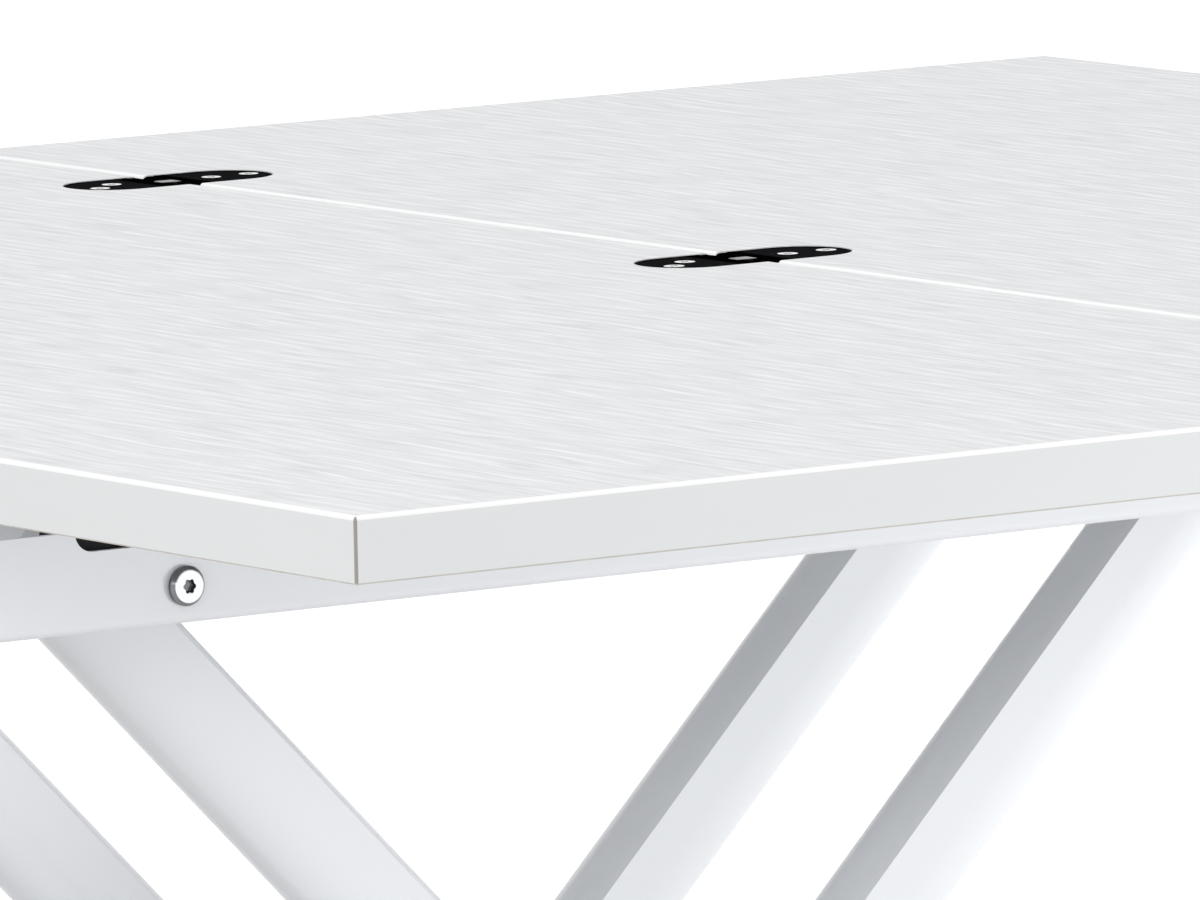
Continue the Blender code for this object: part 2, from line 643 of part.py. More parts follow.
# Scissor legs: each a rectangular tube with round ends, bored at both pivots and in the middle
def leg(y, lean, bores):
    """A leg through the scissor's centre, its top end leaning to +X for lean 1 and to -X for lean -1."""
    frame = Matrix.Translation((SCISSOR_X, y, CENTRE_Z)) @ Matrix.Rotation(lean * LEG_ANGLE, 4, "Y")
    reach = LEG_HALF + LEG_WIDTH / 2
    made = tube(LEG_WIDTH, LEG_THICK, LEG_WALL, LEG_CORNER, -reach, reach, frame)
    ends = prism([stadium(LEG_WIDTH / 2, LEG_HALF)], -LEG_THICK, LEG_THICK,
                 frame @ Matrix.Rotation(math.pi / 2, 4, "Y") @ Matrix.Rotation(math.pi / 2, 4, "X"))
    cut(made, ends)
    made.modifiers[-1].operation = "INTERSECT"
    for place, radius in bores:
        at = frame @ Vector((0, 0, place))
        cut(made, rod_of(radius, -LEG_THICK, LEG_THICK, at, Y_AXIS, SMALL_SIDES))
    return made


BUSH_BORE = BUSH_OUTER + GAP
AXLE_BORE = AXLE_RADIUS + GAP
CENTRE_BORE = CENTRE_BOLT_RADIUS + GAP
for name, side in SIDES:
    inner_bores = ((-LEG_HALF, BUSH_BORE), (0, CENTRE_BORE), (LEG_HALF, AXLE_BORE))
    outer_bores = ((LEG_HALF, BUSH_BORE), (0, CENTRE_BORE), (-LEG_HALF, AXLE_BORE))
    keep(leg(side * INNER_LEG_Y, 1, inner_bores), name + "_inner_leg", "inner", "paint")
    keep(leg(side * OUTER_LEG_Y, -1, outer_bores), name + "_outer_leg", "outer", "paint")


def bush(side, leg_y, x, z):
    """A flanged bush in a leg's pivot bore, its flange outwards."""
    face = leg_y + LEG_THICK / 2
    back = leg_y - LEG_THICK / 2
    return turned([(SHAFT_RADIUS + GAP, face + GAP + BUSH_FLANGE_THICK),
                   (BUSH_OUTER + BUSH_FLANGE, face + GAP + BUSH_FLANGE_THICK),
                   (BUSH_OUTER + BUSH_FLANGE, face + GAP), (BUSH_OUTER, face + GAP),
                   (BUSH_OUTER, back), (SHAFT_RADIUS + GAP, back)], (x, 0, z), (0, side, 0), SMALL_SIDES)


for name, side in SIDES:
    keep(bush(side, INNER_LEG_Y, FIXED_X, LOWER_PIVOT_Z), name + "_lower_bush", "inner", "nylon")
    keep(bush(side, OUTER_LEG_Y, FIXED_X, UPPER_PIVOT_Z), name + "_upper_bush", "outer", "nylon")

# Centre bolts, each with a collar between the crossing legs
for name, side in SIDES:
    inside = INNER_LEG_Y - LEG_THICK / 2 - GAP
    outside = OUTER_FACE + GAP
    collar_in = INNER_FACE + GAP
    collar_out = INNER_FACE + LEG_SIDE_GAP - GAP
    keep(turned([(0, outside + CENTRE_HEAD_HEIGHT), (CENTRE_HEAD_RADIUS, outside + CENTRE_HEAD_HEIGHT),
                 (CENTRE_HEAD_RADIUS, outside), (CENTRE_BOLT_RADIUS, outside),
                 (CENTRE_BOLT_RADIUS, collar_out), (COLLAR_RADIUS, collar_out),
                 (COLLAR_RADIUS, collar_in), (CENTRE_BOLT_RADIUS, collar_in),
                 (CENTRE_BOLT_RADIUS, inside), (CENTRE_HEAD_RADIUS, inside),
                 (CENTRE_HEAD_RADIUS, inside - CENTRE_HEAD_HEIGHT),
                 (0, inside - CENTRE_HEAD_HEIGHT)], (SCISSOR_X, 0, CENTRE_Z), (0, side, 0), SMALL_SIDES),
         name + "_centre_bolt", "inner", "steel")

# Leg cross bars, which also carry the gas spring's eyes
inner_bar_half = INNER_LEG_Y - LEG_THICK / 2 - GAP
outer_bar_half = OUTER_LEG_Y - LEG_THICK / 2 - GAP
keep(rod_of(CROSS_BAR_RADIUS, -inner_bar_half, inner_bar_half, (SCISSOR_X - SPRING_REACH, 0, SPRING_Z)),
     "inner_cross_bar", "inner", "paint")
keep(rod_of(CROSS_BAR_RADIUS, -outer_bar_half, outer_bar_half, (SCISSOR_X + SPRING_REACH, 0, SPRING_Z)),
     "outer_cross_bar", "outer", "paint")

# Roller axles with welded sleeves, and the rollers that run in the channels
AXLE_HALF = RAIL_INNER_WALL - AXLE_END_PLAY
ROLLER_OUT = AXLE_HALF - GAP
ROLLER_IN = ROLLER_OUT - ROLLER_WIDTH
SLEEVE_RADIUS = AXLE_RADIUS + AXLE_SLEEVE_WALL
LEVELS = (("upper", UPPER_PIVOT_Z, "inner", INNER_FACE), ("floor", LOWER_PIVOT_Z, "outer", OUTER_FACE))
for level, z, body, face in LEVELS:
    sleeve_in = face + GAP
    sleeve_out = ROLLER_IN - GAP
    keep(turned([(0, AXLE_HALF), (AXLE_RADIUS, AXLE_HALF), (AXLE_RADIUS, sleeve_out),
                 (SLEEVE_RADIUS, sleeve_out), (SLEEVE_RADIUS, sleeve_in), (AXLE_RADIUS, sleeve_in),
                 (AXLE_RADIUS, -sleeve_in),
                 (SLEEVE_RADIUS, -sleeve_in), (SLEEVE_RADIUS, -sleeve_out), (AXLE_RADIUS, -sleeve_out),
                 (AXLE_RADIUS, -AXLE_HALF), (0, -AXLE_HALF)], (ROLLER_X, 0, z), Y_AXIS, SMALL_SIDES),
         level + "_roller_axle", body, "steel")
    for name, side in SIDES:
        keep(ring_of(AXLE_BORE, ROLLER_RADIUS, ROLLER_IN, ROLLER_OUT, (ROLLER_X, 0, z),
                     (0, side, 0), SMALL_SIDES), f"{name}_{level}_roller", level + "_rollers", "black")


def eye_at(x):
    """A gas spring's end eye, round a leg cross bar."""
    return ring_of(CROSS_BAR_RADIUS + GAP, EYE_RADIUS, -EYE_WIDTH / 2, EYE_WIDTH / 2, (x, 0, SPRING_Z))


bore_end = 2 * SPRING_REACH - SPRING_ROD_LENGTH - EYE_RADIUS
cylinder_x = SCISSOR_X - SPRING_REACH
cylinder = eye_at(cylinder_x)
union(cylinder, turned([(0, bore_end), (ROD_RADIUS + GAP, bore_end), (ROD_RADIUS + GAP, SPRING_BODY_LENGTH),
                        (SPRING_RADIUS, SPRING_BODY_LENGTH), (SPRING_RADIUS, EYE_JOIN), (0, EYE_JOIN)],
                       (cylinder_x, 0, SPRING_Z), X_AXIS, SMALL_SIDES))
keep(cylinder, "gas_spring_cylinder", "cylinder", "black_steel")
rod_x = SCISSOR_X + SPRING_REACH
spring_rod = eye_at(rod_x)
union(spring_rod, rod_of(ROD_RADIUS, EYE_JOIN, SPRING_ROD_LENGTH,
                         (rod_x, 0, SPRING_Z), (-1, 0, 0), SMALL_SIDES))
keep(spring_rod, "gas_spring_rod", "rod", "chrome")

# Floor base: two channels on two feet with pads
floor_rails = {side: channel(side, FLOOR_RAIL_BOTTOM, FLOOR_LOW_X, FLOOR_HIGH_X) for _, side in SIDES}
FOOT_Z = FOOT_PAD_HEIGHT + GAP + FOOT_HEIGHT / 2
FOOT_XS = (FLOOR_LOW_X + FOOT_WIDTH / 2, FLOOR_HIGH_X - FOOT_WIDTH / 2)
for foot_name, x in zip(("left", "right"), FOOT_XS):
    keep(tube(FOOT_WIDTH, FOOT_HEIGHT, FOOT_WALL, FOOT_CORNER, -FOOT_LENGTH / 2, FOOT_LENGTH / 2,
              facing((x, 0, FOOT_Z), Y_AXIS)), foot_name + "_foot", "base", "paint")
    for name, side in SIDES:
        place = (x, side * (FOOT_LENGTH / 2 - FOOT_PAD_INSET), 0)
        keep(rod_of(FOOT_PAD_RADIUS, 0, FOOT_PAD_HEIGHT, place, Z_AXIS, SMALL_SIDES),
             f"{foot_name}_{name}_foot_pad", "base", "black")
lower_shaft, lower_bolts = pivot_shaft(LOWER_PIVOT_Z, floor_rails, INNER_FACE + BUSH_STAND)
keep(lower_shaft, "lower_pivot_shaft", "base", "steel")
for (name, side), made in zip(SIDES, lower_bolts):
    keep(made, name + "_lower_bolt", "base", "chrome")
    keep(floor_rails[side], name + "_floor_rail", "base", "paint")
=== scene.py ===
"""Looks of the convertible lift-top table.

Every piece is finished in the order in which the table is put together.
"""

import json
import math

import bmesh
import bpy
from mathutils import Matrix, Vector

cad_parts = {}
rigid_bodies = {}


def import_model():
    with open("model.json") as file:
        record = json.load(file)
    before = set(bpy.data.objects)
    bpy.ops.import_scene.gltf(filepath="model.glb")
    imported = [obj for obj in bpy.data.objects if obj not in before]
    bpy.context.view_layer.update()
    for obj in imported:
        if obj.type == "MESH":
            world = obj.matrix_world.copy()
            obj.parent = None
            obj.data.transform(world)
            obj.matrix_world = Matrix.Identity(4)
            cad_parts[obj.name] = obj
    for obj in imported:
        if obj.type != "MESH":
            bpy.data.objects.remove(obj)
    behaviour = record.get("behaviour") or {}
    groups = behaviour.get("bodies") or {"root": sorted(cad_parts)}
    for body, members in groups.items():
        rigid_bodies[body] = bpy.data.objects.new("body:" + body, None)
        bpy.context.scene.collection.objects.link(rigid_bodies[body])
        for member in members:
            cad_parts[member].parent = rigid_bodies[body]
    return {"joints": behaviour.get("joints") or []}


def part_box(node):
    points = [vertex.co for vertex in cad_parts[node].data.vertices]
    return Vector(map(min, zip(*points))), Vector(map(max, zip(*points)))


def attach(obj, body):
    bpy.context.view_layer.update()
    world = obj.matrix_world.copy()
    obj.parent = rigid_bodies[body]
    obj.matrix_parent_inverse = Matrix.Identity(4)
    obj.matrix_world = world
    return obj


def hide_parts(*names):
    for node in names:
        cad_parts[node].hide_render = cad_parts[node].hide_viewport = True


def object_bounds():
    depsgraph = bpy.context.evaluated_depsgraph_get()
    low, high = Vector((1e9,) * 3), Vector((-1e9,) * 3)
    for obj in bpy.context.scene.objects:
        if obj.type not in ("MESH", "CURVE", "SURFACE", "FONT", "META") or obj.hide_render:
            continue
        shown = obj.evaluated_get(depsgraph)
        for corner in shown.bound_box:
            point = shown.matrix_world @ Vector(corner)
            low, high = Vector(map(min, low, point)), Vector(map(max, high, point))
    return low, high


for leftover in list(bpy.data.objects):
    bpy.data.objects.remove(leftover, do_unlink=True)
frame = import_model()
cad_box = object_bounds()

# Floor feet: two steel tubes that lie along the seam and carry the floor channels.
# Each is a rolled rectangular section with round long edges, powder coated gloss white,
# and its cut ends are closed by pressed-in black plastic plugs.
SIDES = ("near", "far")
FEET = ("left", "right")
FOOT_CORNER = 0.004
PLUG_LIP = 0.0025
PLUG_DOME = 0.0008
PLUG_GAP = 0.0002
PLUG_EDGE = 0.0003
STRAIGHT = 0.99
SHARP_ABOVE = math.radians(40)
SMOOTH_BELOW = math.radians(35)


class Wire:
    """A shader socket that takes part in Python expressions."""

    def __init__(self, finish, socket):
        self.finish = finish
        self.socket = socket

    def maths(self, operation, first, second):
        return self.finish.add("ShaderNodeMath", {"operation": operation}, {0: first, 1: second})

    def __add__(self, other):
        return self.maths("ADD", self, other)

    def __sub__(self, other):
        return self.maths("SUBTRACT", self, other)

    def __rsub__(self, other):
        return self.maths("SUBTRACT", other, self)

    def __mul__(self, other):
        return self.maths("MULTIPLY", self, other)

    def __gt__(self, other):
        return self.maths("GREATER_THAN", self, other)

    def __lt__(self, other):
        return self.maths("LESS_THAN", self, other)

    def __abs__(self):
        return self.finish.add("ShaderNodeMath", {"operation": "ABSOLUTE"}, {0: self})

    __radd__ = __add__
    __rmul__ = __mul__


class Finish:
    """A surface finish: a shader and the nodes that vary it."""

    def __init__(self, name, owner=None, shader="Principled BSDF", **plain):
        self.material = bpy.data.materials.new(name) if owner is None else owner
        self.material.use_nodes = True
        self.tree = self.material.node_tree
        self.shader = self.tree.nodes[shader]
        self.give(**plain)

    def add(self, kind, settings=None, inputs=None, output=0):
        node = self.tree.nodes.new(kind)
        for setting, value in (settings or {}).items():
            if setting == "stops":
                self.stops(node.color_ramp, value)
            else:
                setattr(node, setting, value)
        for socket, value in (inputs or {}).items():
            self.feed(node.inputs[socket], value)
        return Wire(self, node.outputs[output])

    def stops(self, ramp, places):
        for element, (place, shade) in zip(ramp.elements, places):
            element.position = place
            element.color = (shade, shade, shade, 1)

    def feed(self, socket, value):
        if isinstance(value, Wire):
            self.tree.links.new(value.socket, socket)
        elif hasattr(value, "__len__") and socket.type == "RGBA":
            socket.default_value = (*value, 1)
        else:
            socket.default_value = value

    def give(self, **inputs):
        for name, value in inputs.items():
            self.feed(self.shader.inputs[name.replace("_", " ")], value)

    def place(self, axis):
        point = self.add("ShaderNodeTexCoord", output="Object")
        return self.add("ShaderNodeSeparateXYZ", None, {0: point}, axis)

    def noise(self, scale, detail=2.0):
        scale = scale if hasattr(scale, "__len__") else (scale, scale, scale)
        point = self.add("ShaderNodeTexCoord", output="Object")
        point = self.add("ShaderNodeMapping", None, {"Vector": point, "Scale": scale})
        inputs = {"Vector": point, "Scale": 1.0, "Detail": detail, "Roughness": 0.5}
        return self.add("ShaderNodeTexNoise", None, inputs)

    def blend(self, amount, first, second):
        return self.add("ShaderNodeMix", {"data_type": "RGBA"}, {0: amount, 6: first, 7: second}, 2)

    def relief(self, height, distance, strength):
        inputs = {"Height": height, "Distance": distance, "Strength": strength}
        self.give(Normal=self.add("ShaderNodeBump", None, inputs))


def powder_coat():
    """Gloss white powder coat: a cool white with a faint orange-peel skin and slow changes of gloss."""
    paint = Finish("powder_coat", Coat_Weight=0.35, Coat_Roughness=0.08, Specular_IOR_Level=0.5)
    drift = paint.noise(2.5, 0.0)
    paint.give(Base_Color=paint.blend(drift, (0.865, 0.885, 0.915), (0.895, 0.91, 0.935)))
    paint.give(Roughness=0.27 + 0.03 * drift)
    paint.relief(paint.noise(380.0, 0.0), 0.00002, 0.06)
    return paint.material


def moulded_black():
    """Black moulded plastic with a fine spark-eroded grain."""
    plastic = Finish("moulded_black", Specular_IOR_Level=0.15)
    speckle = plastic.noise(2600.0, 1.0)
    plastic.give(Base_Color=plastic.blend(speckle, (0.006, 0.006, 0.007), (0.018, 0.018, 0.019)))
    plastic.give(Roughness=0.50 + 0.2 * plastic.noise(160.0))
    plastic.relief(speckle, 0.00004, 0.5)
    return plastic.material


PAINT = powder_coat()
BLACK_PLASTIC = moulded_black()


def choose(piece, kind, test):
    """Selects the faces, edges or points of a piece in edit mode that pass a test."""
    bpy.ops.mesh.select_mode(type=kind)
    bpy.ops.mesh.select_all(action="DESELECT")
    edit = bmesh.from_edit_mesh(piece.data)
    for item in {"FACE": edit.faces, "EDGE": edit.edges, "VERT": edit.verts}[kind]:
        item.select_set(bool(test(item)))
    edit.select_flush_mode()
    bmesh.update_edit_mesh(piece.data)


def along(axis):
    """A test for edges that run along an axis."""
    return lambda edge: abs((edge.verts[0].co - edge.verts[1].co).normalized()[axis]) > STRAIGHT


def block(size):
    """A cube drawn out to a size about the origin, left in edit mode."""
    bpy.ops.object.select_all(action="DESELECT")
    bpy.ops.mesh.primitive_cube_add(size=1)
    piece = bpy.context.object
    bpy.ops.object.mode_set(mode="EDIT")
    bpy.ops.mesh.select_all(action="SELECT")
    bpy.ops.transform.resize(value=size)
    return piece


def close_up():
    """Turns the faces of the piece in edit mode outwards, and leaves edit mode."""
    bpy.ops.mesh.select_all(action="SELECT")
    bpy.ops.mesh.normals_make_consistent(inside=False)
    bpy.ops.object.mode_set(mode="OBJECT")


def ease(piece, width):
    """Rounds the sharp edges of a piece with a Bevel that is then applied."""
    bevel = piece.modifiers.new("eased_edges", "BEVEL")
    bevel.width = width
    bevel.segments = 2
    bevel.limit_method = "ANGLE"
    bevel.angle_limit = SHARP_ABOVE
    bpy.ops.object.modifier_apply(modifier=bevel.name)


def seat(piece, name, body, material, nodes=(), place=None, eased=0.0):
    """Leaves edit mode, eases the edges, sets a piece in its place and hands it to its body."""
    if piece.mode == "EDIT":
        close_up()
    bpy.ops.object.select_all(action="DESELECT")
    piece.select_set(True)
    bpy.context.view_layer.objects.active = piece
    if eased:
        ease(piece, eased)
    if place is not None:
        piece.data.transform(place)
    bpy.ops.object.shade_smooth_by_angle(angle=SMOOTH_BELOW)
    flat = piece.modifiers.new("flat_faces", "WEIGHTED_NORMAL")
    flat.keep_sharp = True
    bpy.ops.object.modifier_apply(modifier=flat.name)
    piece.name = name
    piece.data.name = name
    piece.data.materials.clear()
    piece.data.materials.append(material)
    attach(piece, body)
    if nodes:
        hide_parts(*nodes)
    return piece


def middle(node):
    low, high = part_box(node)
    return (low + high) / 2


def extent(node):
    low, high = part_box(node)
    return high - low


def tube(size, corner):
    """A rectangular section along Y with its long edges rolled round."""
    piece = block(size)
    choose(piece, "EDGE", along(1))
    bpy.ops.mesh.bevel(offset=corner, segments=5, affect="EDGES")
    return piece


def end_plug(name, body, tube_node, side, corner):
    """A plug for one end of a tube: a thin lip the size of the section with a domed face."""
    low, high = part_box(tube_node)
    size = Vector(high - low)
    size.y = PLUG_LIP
    piece = tube(size, corner)
    choose(piece, "FACE", lambda face: face.normal.y * side > STRAIGHT)
    bpy.ops.mesh.inset(thickness=corner / 2)
    bpy.ops.transform.translate(value=(0, side * PLUG_DOME, 0))
    centre = (low + high) / 2
    centre.y = (high if side > 0 else low).y + side * (PLUG_LIP / 2 + PLUG_GAP)
    return seat(piece, name, body, BLACK_PLASTIC, (), Matrix.Translation(centre),
                PLUG_EDGE)


for side_name in FEET:
    node = side_name + "_foot"
    piece = tube(extent(node), FOOT_CORNER)
    seat(piece, side_name + "_foot_tube", "base", PAINT, (node,),
         Matrix.Translation(middle(node)))
    for end_name, way in zip(SIDES, (-1, 1)):
        end_plug(f"{side_name}_{end_name}_foot_plug", "base", node, way, FOOT_CORNER)

# Foot pads: turned black plastic pads under the ends of the feet, which keep the steel off the floor.
# Each has a rounded rim and a shallow groove round its side where it grips its stud.
# The profile gives shares of a pad's radius and height, from the floor up.
PAD_PROFILE = ((0.9, 0), (1, 0.18), (1, 0.45), (0.92, 0.55), (0.92, 0.75), (0.96, 0.82), (0.96, 1))
PAD_EDGE = 0.0002


def turned(outline, sides=48, bore=False):
    """Lathe work: a ring is drawn out along Z and widened at each step, left in edit mode."""
    bpy.ops.object.select_all(action="DESELECT")
    radius, height = outline[0]
    bpy.ops.mesh.primitive_circle_add(vertices=sides, radius=radius, location=(0, 0, 0))
    piece = bpy.context.object
    bpy.ops.object.mode_set(mode="EDIT")
    bpy.ops.mesh.select_mode(type="VERT")
    bpy.ops.mesh.select_all(action="SELECT")
    bpy.ops.transform.translate(value=(0, 0, height))
    for next_radius, next_height in outline[1:]:
        rise = (0, 0, next_height - height)
        bpy.ops.mesh.extrude_region_move(TRANSFORM_OT_translate={"value": rise})
        share = next_radius / radius
        bpy.ops.transform.resize(value=(share, share, 1), center_override=(0, 0, next_height))
        radius, height = next_radius, next_height
    bpy.ops.mesh.select_all(action="DESELECT")
    bpy.ops.mesh.select_non_manifold()
    if bore:
        bpy.ops.mesh.bridge_edge_loops()
    else:
        bpy.ops.mesh.fill_holes(sides=0)
    return piece


for side_name in FEET:
    for end_name in SIDES:
        node = f"{side_name}_{end_name}_foot_pad"
        low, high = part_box(node)
        rim = (high.x - low.x) / 2
        tall = high.z - low.z
        outline = [(rim * across, tall * up) for across, up in PAD_PROFILE]
        seat(turned(outline), node + "_turned", "base", BLACK_PLASTIC, (node,),
             Matrix.Translation((middle(node).x, middle(node).y, low.z)), PAD_EDGE)

# Floor channels: two folded steel channels, open inwards, on which the legs' lower ends pivot and roll.
# Their outer corners are rolled, and their ends are closed by welded tabs under the same powder coat.
CHANNEL_CORNER = 0.004
CHANNEL_WALL = 0.0025
CHANNEL_EDGE = 0.0004


def channel(size, side):
    """A closed-end channel: two rolled outer corners, and an inner side sunk to the wall."""
    piece = block(size)
    choose(piece, "EDGE", lambda edge: along(0)(edge) and edge.verts[0].co.y * side > 0)
    bpy.ops.mesh.bevel(offset=CHANNEL_CORNER, segments=6, affect="EDGES")
    choose(piece, "FACE", lambda face: face.normal.y * side < -STRAIGHT)
    bpy.ops.mesh.inset(thickness=CHANNEL_WALL)
    depth = side * (size.y - CHANNEL_WALL)
    bpy.ops.mesh.extrude_region_move(TRANSFORM_OT_translate={"value": (0, depth, 0)})
    return piece


for name, side in zip(SIDES, (-1, 1)):
    node = name + "_floor_rail"
    seat(channel(extent(node), side), name + "_floor_channel", "base", PAINT, (node,),
         Matrix.Translation(middle(node)), CHANNEL_EDGE)

# Pivot shafts: bright zinc-plated shafts with wider sleeves towards the rails, one at the floor
# and one under the top. The legs swing on the slim middle, and a bolt through each rail is screwed
# into each end.
FIT = 0.0003
SHAFT_RADIUS = 0.007
SHAFT_EDGE = 0.0004


def zinc():
    """Bright zinc plate: cool grey metal, slightly cloudy."""
    plate = Finish("zinc_plate", Metallic=1.0)
    cloud = plate.noise(55.0, 3.0)
    plate.give(Base_Color=plate.blend(cloud, (0.40, 0.41, 0.43), (0.58, 0.59, 0.60)))
    plate.give(Roughness=0.24 + 0.22 * cloud)
    plate.relief(plate.noise((900.0, 60.0, 900.0), 1.0), 0.00003, 0.4)
    return plate.material


ZINC = zinc()


def mirrored(half, between=()):
    """A whole outline from its upper half and the points between the halves."""
    return half + list(between) + [(radius, -height) for radius, height in reversed(half)]


def facing(place, axis):
    """A frame at a place whose Z points along an axis."""
    return Matrix.Translation(place) @ Vector(axis).to_track_quat("Z", "Y").to_matrix().to_4x4()


def on_axis(node):
    """A frame on the middle plane at a node's height, whose Z points along the seam."""
    return facing((middle(node).x, 0, middle(node).z), (0, 1, 0))


for level, body in (("lower", "base"), ("upper", "upper_frame")):
    node = level + "_pivot_shaft"
    low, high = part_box(node)
    sleeve = (high.z - low.z) / 2
    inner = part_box(f"far_{level}_bush")[1].y + FIT
    outline = mirrored([(sleeve, high.y), (sleeve, inner), (SHAFT_RADIUS, inner)])
    seat(turned(outline), node + "_turned", body, ZINC, (node,), on_axis(node), SHAFT_EDGE)

# Rail bolts: chromed machine bolts with a flat, chamfered head and a six-lobed socket, one through
# each rail into the end of each pivot shaft. They are the only bright metal that shows from the side.
HEAD_CHAMFER = 0.0016
HEAD_FACE = max(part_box("far_upper_bolt")[1].y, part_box("far_lower_bolt")[1].y)
CHAMFER_BRIGHT_SHARE = 0.15
LOBES = 6
LOBE_RADIUS = 0.0029
LOBE_DEPTH = 0.2
SOCKET_DEPTH = 0.0022
SOCKET_TAPER = 0.9
SHANK_RADIUS = 0.004
BOLT_EDGE = 0.0002


def chrome():
    """Polished chrome with faint turning marks, and a painted dark reflection below the bolt heads' front
    faces.
    """
    bright = Finish("bright_chrome", Metallic=1.0)
    marks = bright.noise((1500.0, 300.0, 1500.0), 2.0)
    out = abs(bright.place(1))
    # The chamfer and side of each bolt head are painted darker grey and made rougher: a painted reflection
    # of the darker things round the bolt.
    painted_dark_reflection = (out < HEAD_FACE - HEAD_CHAMFER * CHAMFER_BRIGHT_SHARE) * (out > HEAD_FACE / 2)
    polished = bright.blend(marks, (0.78, 0.79, 0.81), (0.90, 0.91, 0.92))
    bright.give(Base_Color=bright.blend(painted_dark_reflection, polished, (0.20, 0.205, 0.215)))
    bright.give(Roughness=0.07 + 0.08 * marks + 0.15 * painted_dark_reflection)
    return bright.material


CHROME = chrome()


def rail_bolt(node, side):
    """A bolt whose head is chamfered and whose socket is a wavy six-lobed pit, and its place."""
    low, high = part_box(node)
    head = (high.z - low.z) / 2
    rail = node.replace("upper_bolt", "side_rail").replace("lower_bolt", "floor_rail")
    seat_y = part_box(rail)[side > 0].y
    rise = abs((high if side > 0 else low).y - seat_y)
    shank = abs((low if side > 0 else high).y - seat_y)
    flat = head - HEAD_CHAMFER
    piece = turned([(flat / 2, rise), (flat, rise), (head, rise - HEAD_CHAMFER), (head, FIT),
                    (SHANK_RADIUS, FIT), (SHANK_RADIUS, -shank)], 96)
    choose(piece, "FACE", lambda face: (face.normal.z > STRAIGHT
                                        and face.calc_center_median().xy.length < flat / 4))
    bpy.ops.mesh.inset(thickness=flat / 2 - LOBE_RADIUS)
    edit = bmesh.from_edit_mesh(piece.data)
    pit = [face for face in edit.faces if face.select][0]
    for vert in pit.verts:
        angle = math.atan2(vert.co.y, vert.co.x)
        vert.co.xy *= 1 - LOBE_DEPTH * (0.5 - 0.5 * math.cos(LOBES * angle))
    bmesh.update_edit_mesh(piece.data)
    bpy.ops.mesh.extrude_region_move(TRANSFORM_OT_translate={"value": (0, 0, -SOCKET_DEPTH)})
    bpy.ops.transform.resize(value=(SOCKET_TAPER, SOCKET_TAPER, 1))
    return piece, facing((middle(node).x, seat_y, middle(node).z), (0, side, 0))


for level, body in (("lower", "base"), ("upper", "upper_frame")):
    for name, side in zip(SIDES, (-1, 1)):
        node = f"{name}_{level}_bolt"
        piece, place = rail_bolt(node, side)
        seat(piece, node + "_chromed", body, CHROME, (node,), place, BOLT_EDGE)

# Scissor legs: four steel tubes in two crossing pairs, with closed, rounded ends.
# The upper narrow side is bowed and meets the wide faces at a crease, and the lower one is half an oval.
# They are powder coated after welding, so that paint runs over every edge.
LEG_WIDTH = 0.046
LEG_THICK = 0.030
LEG_BOW = 0.0062
LEG_OVAL = 0.024
LEG_STEPS = 14
LEG_END_STEPS = 96
LEG_EDGE = 0.0006
PIVOT = {joint["name"]: Vector(joint["pos_m"]) for joint in frame["joints"]}
CENTRE = PIVOT["scissor_centre"]
LEG_HALF = (PIVOT["lift"] - CENTRE).length
LEG_LEAN = math.atan2(CENTRE.x - PIVOT["lift"].x, CENTRE.z - PIVOT["lift"].z)


def merge(piece, other, operation):
    """Joins another shape to a piece, or takes it out, and throws the other shape away."""
    bpy.context.view_layer.objects.active = piece
    boolean = piece.modifiers.new("merged", "BOOLEAN")
    boolean.operation = operation
    boolean.object = other
    bpy.ops.object.modifier_apply(modifier=boolean.name)
    bpy.data.objects.remove(other, do_unlink=True)
    return piece


def shifted(piece, place):
    """Leaves edit mode, and moves a piece to a point or by a frame."""
    close_up()
    piece.data.transform(place if isinstance(place, Matrix) else Matrix.Translation(place))
    return piece


def leg_section(upper):
    """A leg's outline: a bowed side towards upper in X and half an oval away from it."""
    bow = (LEG_THICK ** 2 / 4 + LEG_BOW ** 2) / (2 * LEG_BOW)
    reach = math.asin(LEG_THICK / 2 / bow)
    outline = []
    for step in range(2 * LEG_STEPS + 1):
        turn = reach * (step / LEG_STEPS - 1)
        outline.append((LEG_WIDTH / 2 - bow + bow * math.cos(turn), bow * math.sin(turn)))
    for step in range(2 * LEG_STEPS + 1):
        turn = math.pi / 2 * (1 + step / LEG_STEPS)
        x = LEG_OVAL - LEG_WIDTH / 2 + LEG_OVAL * math.cos(turn)
        outline.append((x, LEG_THICK / 2 * math.sin(turn)))
    return [(upper * x, y) for x, y in outline]


def leg_tube(upper):
    """A leg along Z: a ring shaped to the section, filled and drawn out, with both ends cut round."""
    outline = leg_section(upper)
    length = 2 * LEG_HALF + LEG_WIDTH
    half = LEG_WIDTH / 2
    bpy.ops.object.select_all(action="DESELECT")
    bpy.ops.mesh.primitive_circle_add(vertices=len(outline), radius=half, location=(0, 0, 0))
    piece = bpy.context.object
    bpy.ops.object.mode_set(mode="EDIT")
    edit = bmesh.from_edit_mesh(piece.data)
    for vert, (x, y) in zip(edit.verts, outline):
        vert.co = (x, y, -length / 2)
    bmesh.update_edit_mesh(piece.data)
    bpy.ops.mesh.select_all(action="SELECT")
    bpy.ops.mesh.edge_face_add()
    bpy.ops.mesh.extrude_region_move(TRANSFORM_OT_translate={"value": (0, 0, length)})
    shifted(piece, (0, 0, 0))
    for way in (-1, 1):
        cap = block((2 * LEG_WIDTH, 2 * LEG_THICK, 2 * LEG_WIDTH))
        shifted(cap, (0, 0, way * (LEG_HALF + LEG_WIDTH)))
        eye = turned(mirrored([(half, 2 * LEG_THICK)]), LEG_END_STEPS)
        shifted(eye, facing((0, 0, way * LEG_HALF), (0, 1, 0)))
        merge(piece, merge(cap, eye, "DIFFERENCE"), "DIFFERENCE")
    return piece


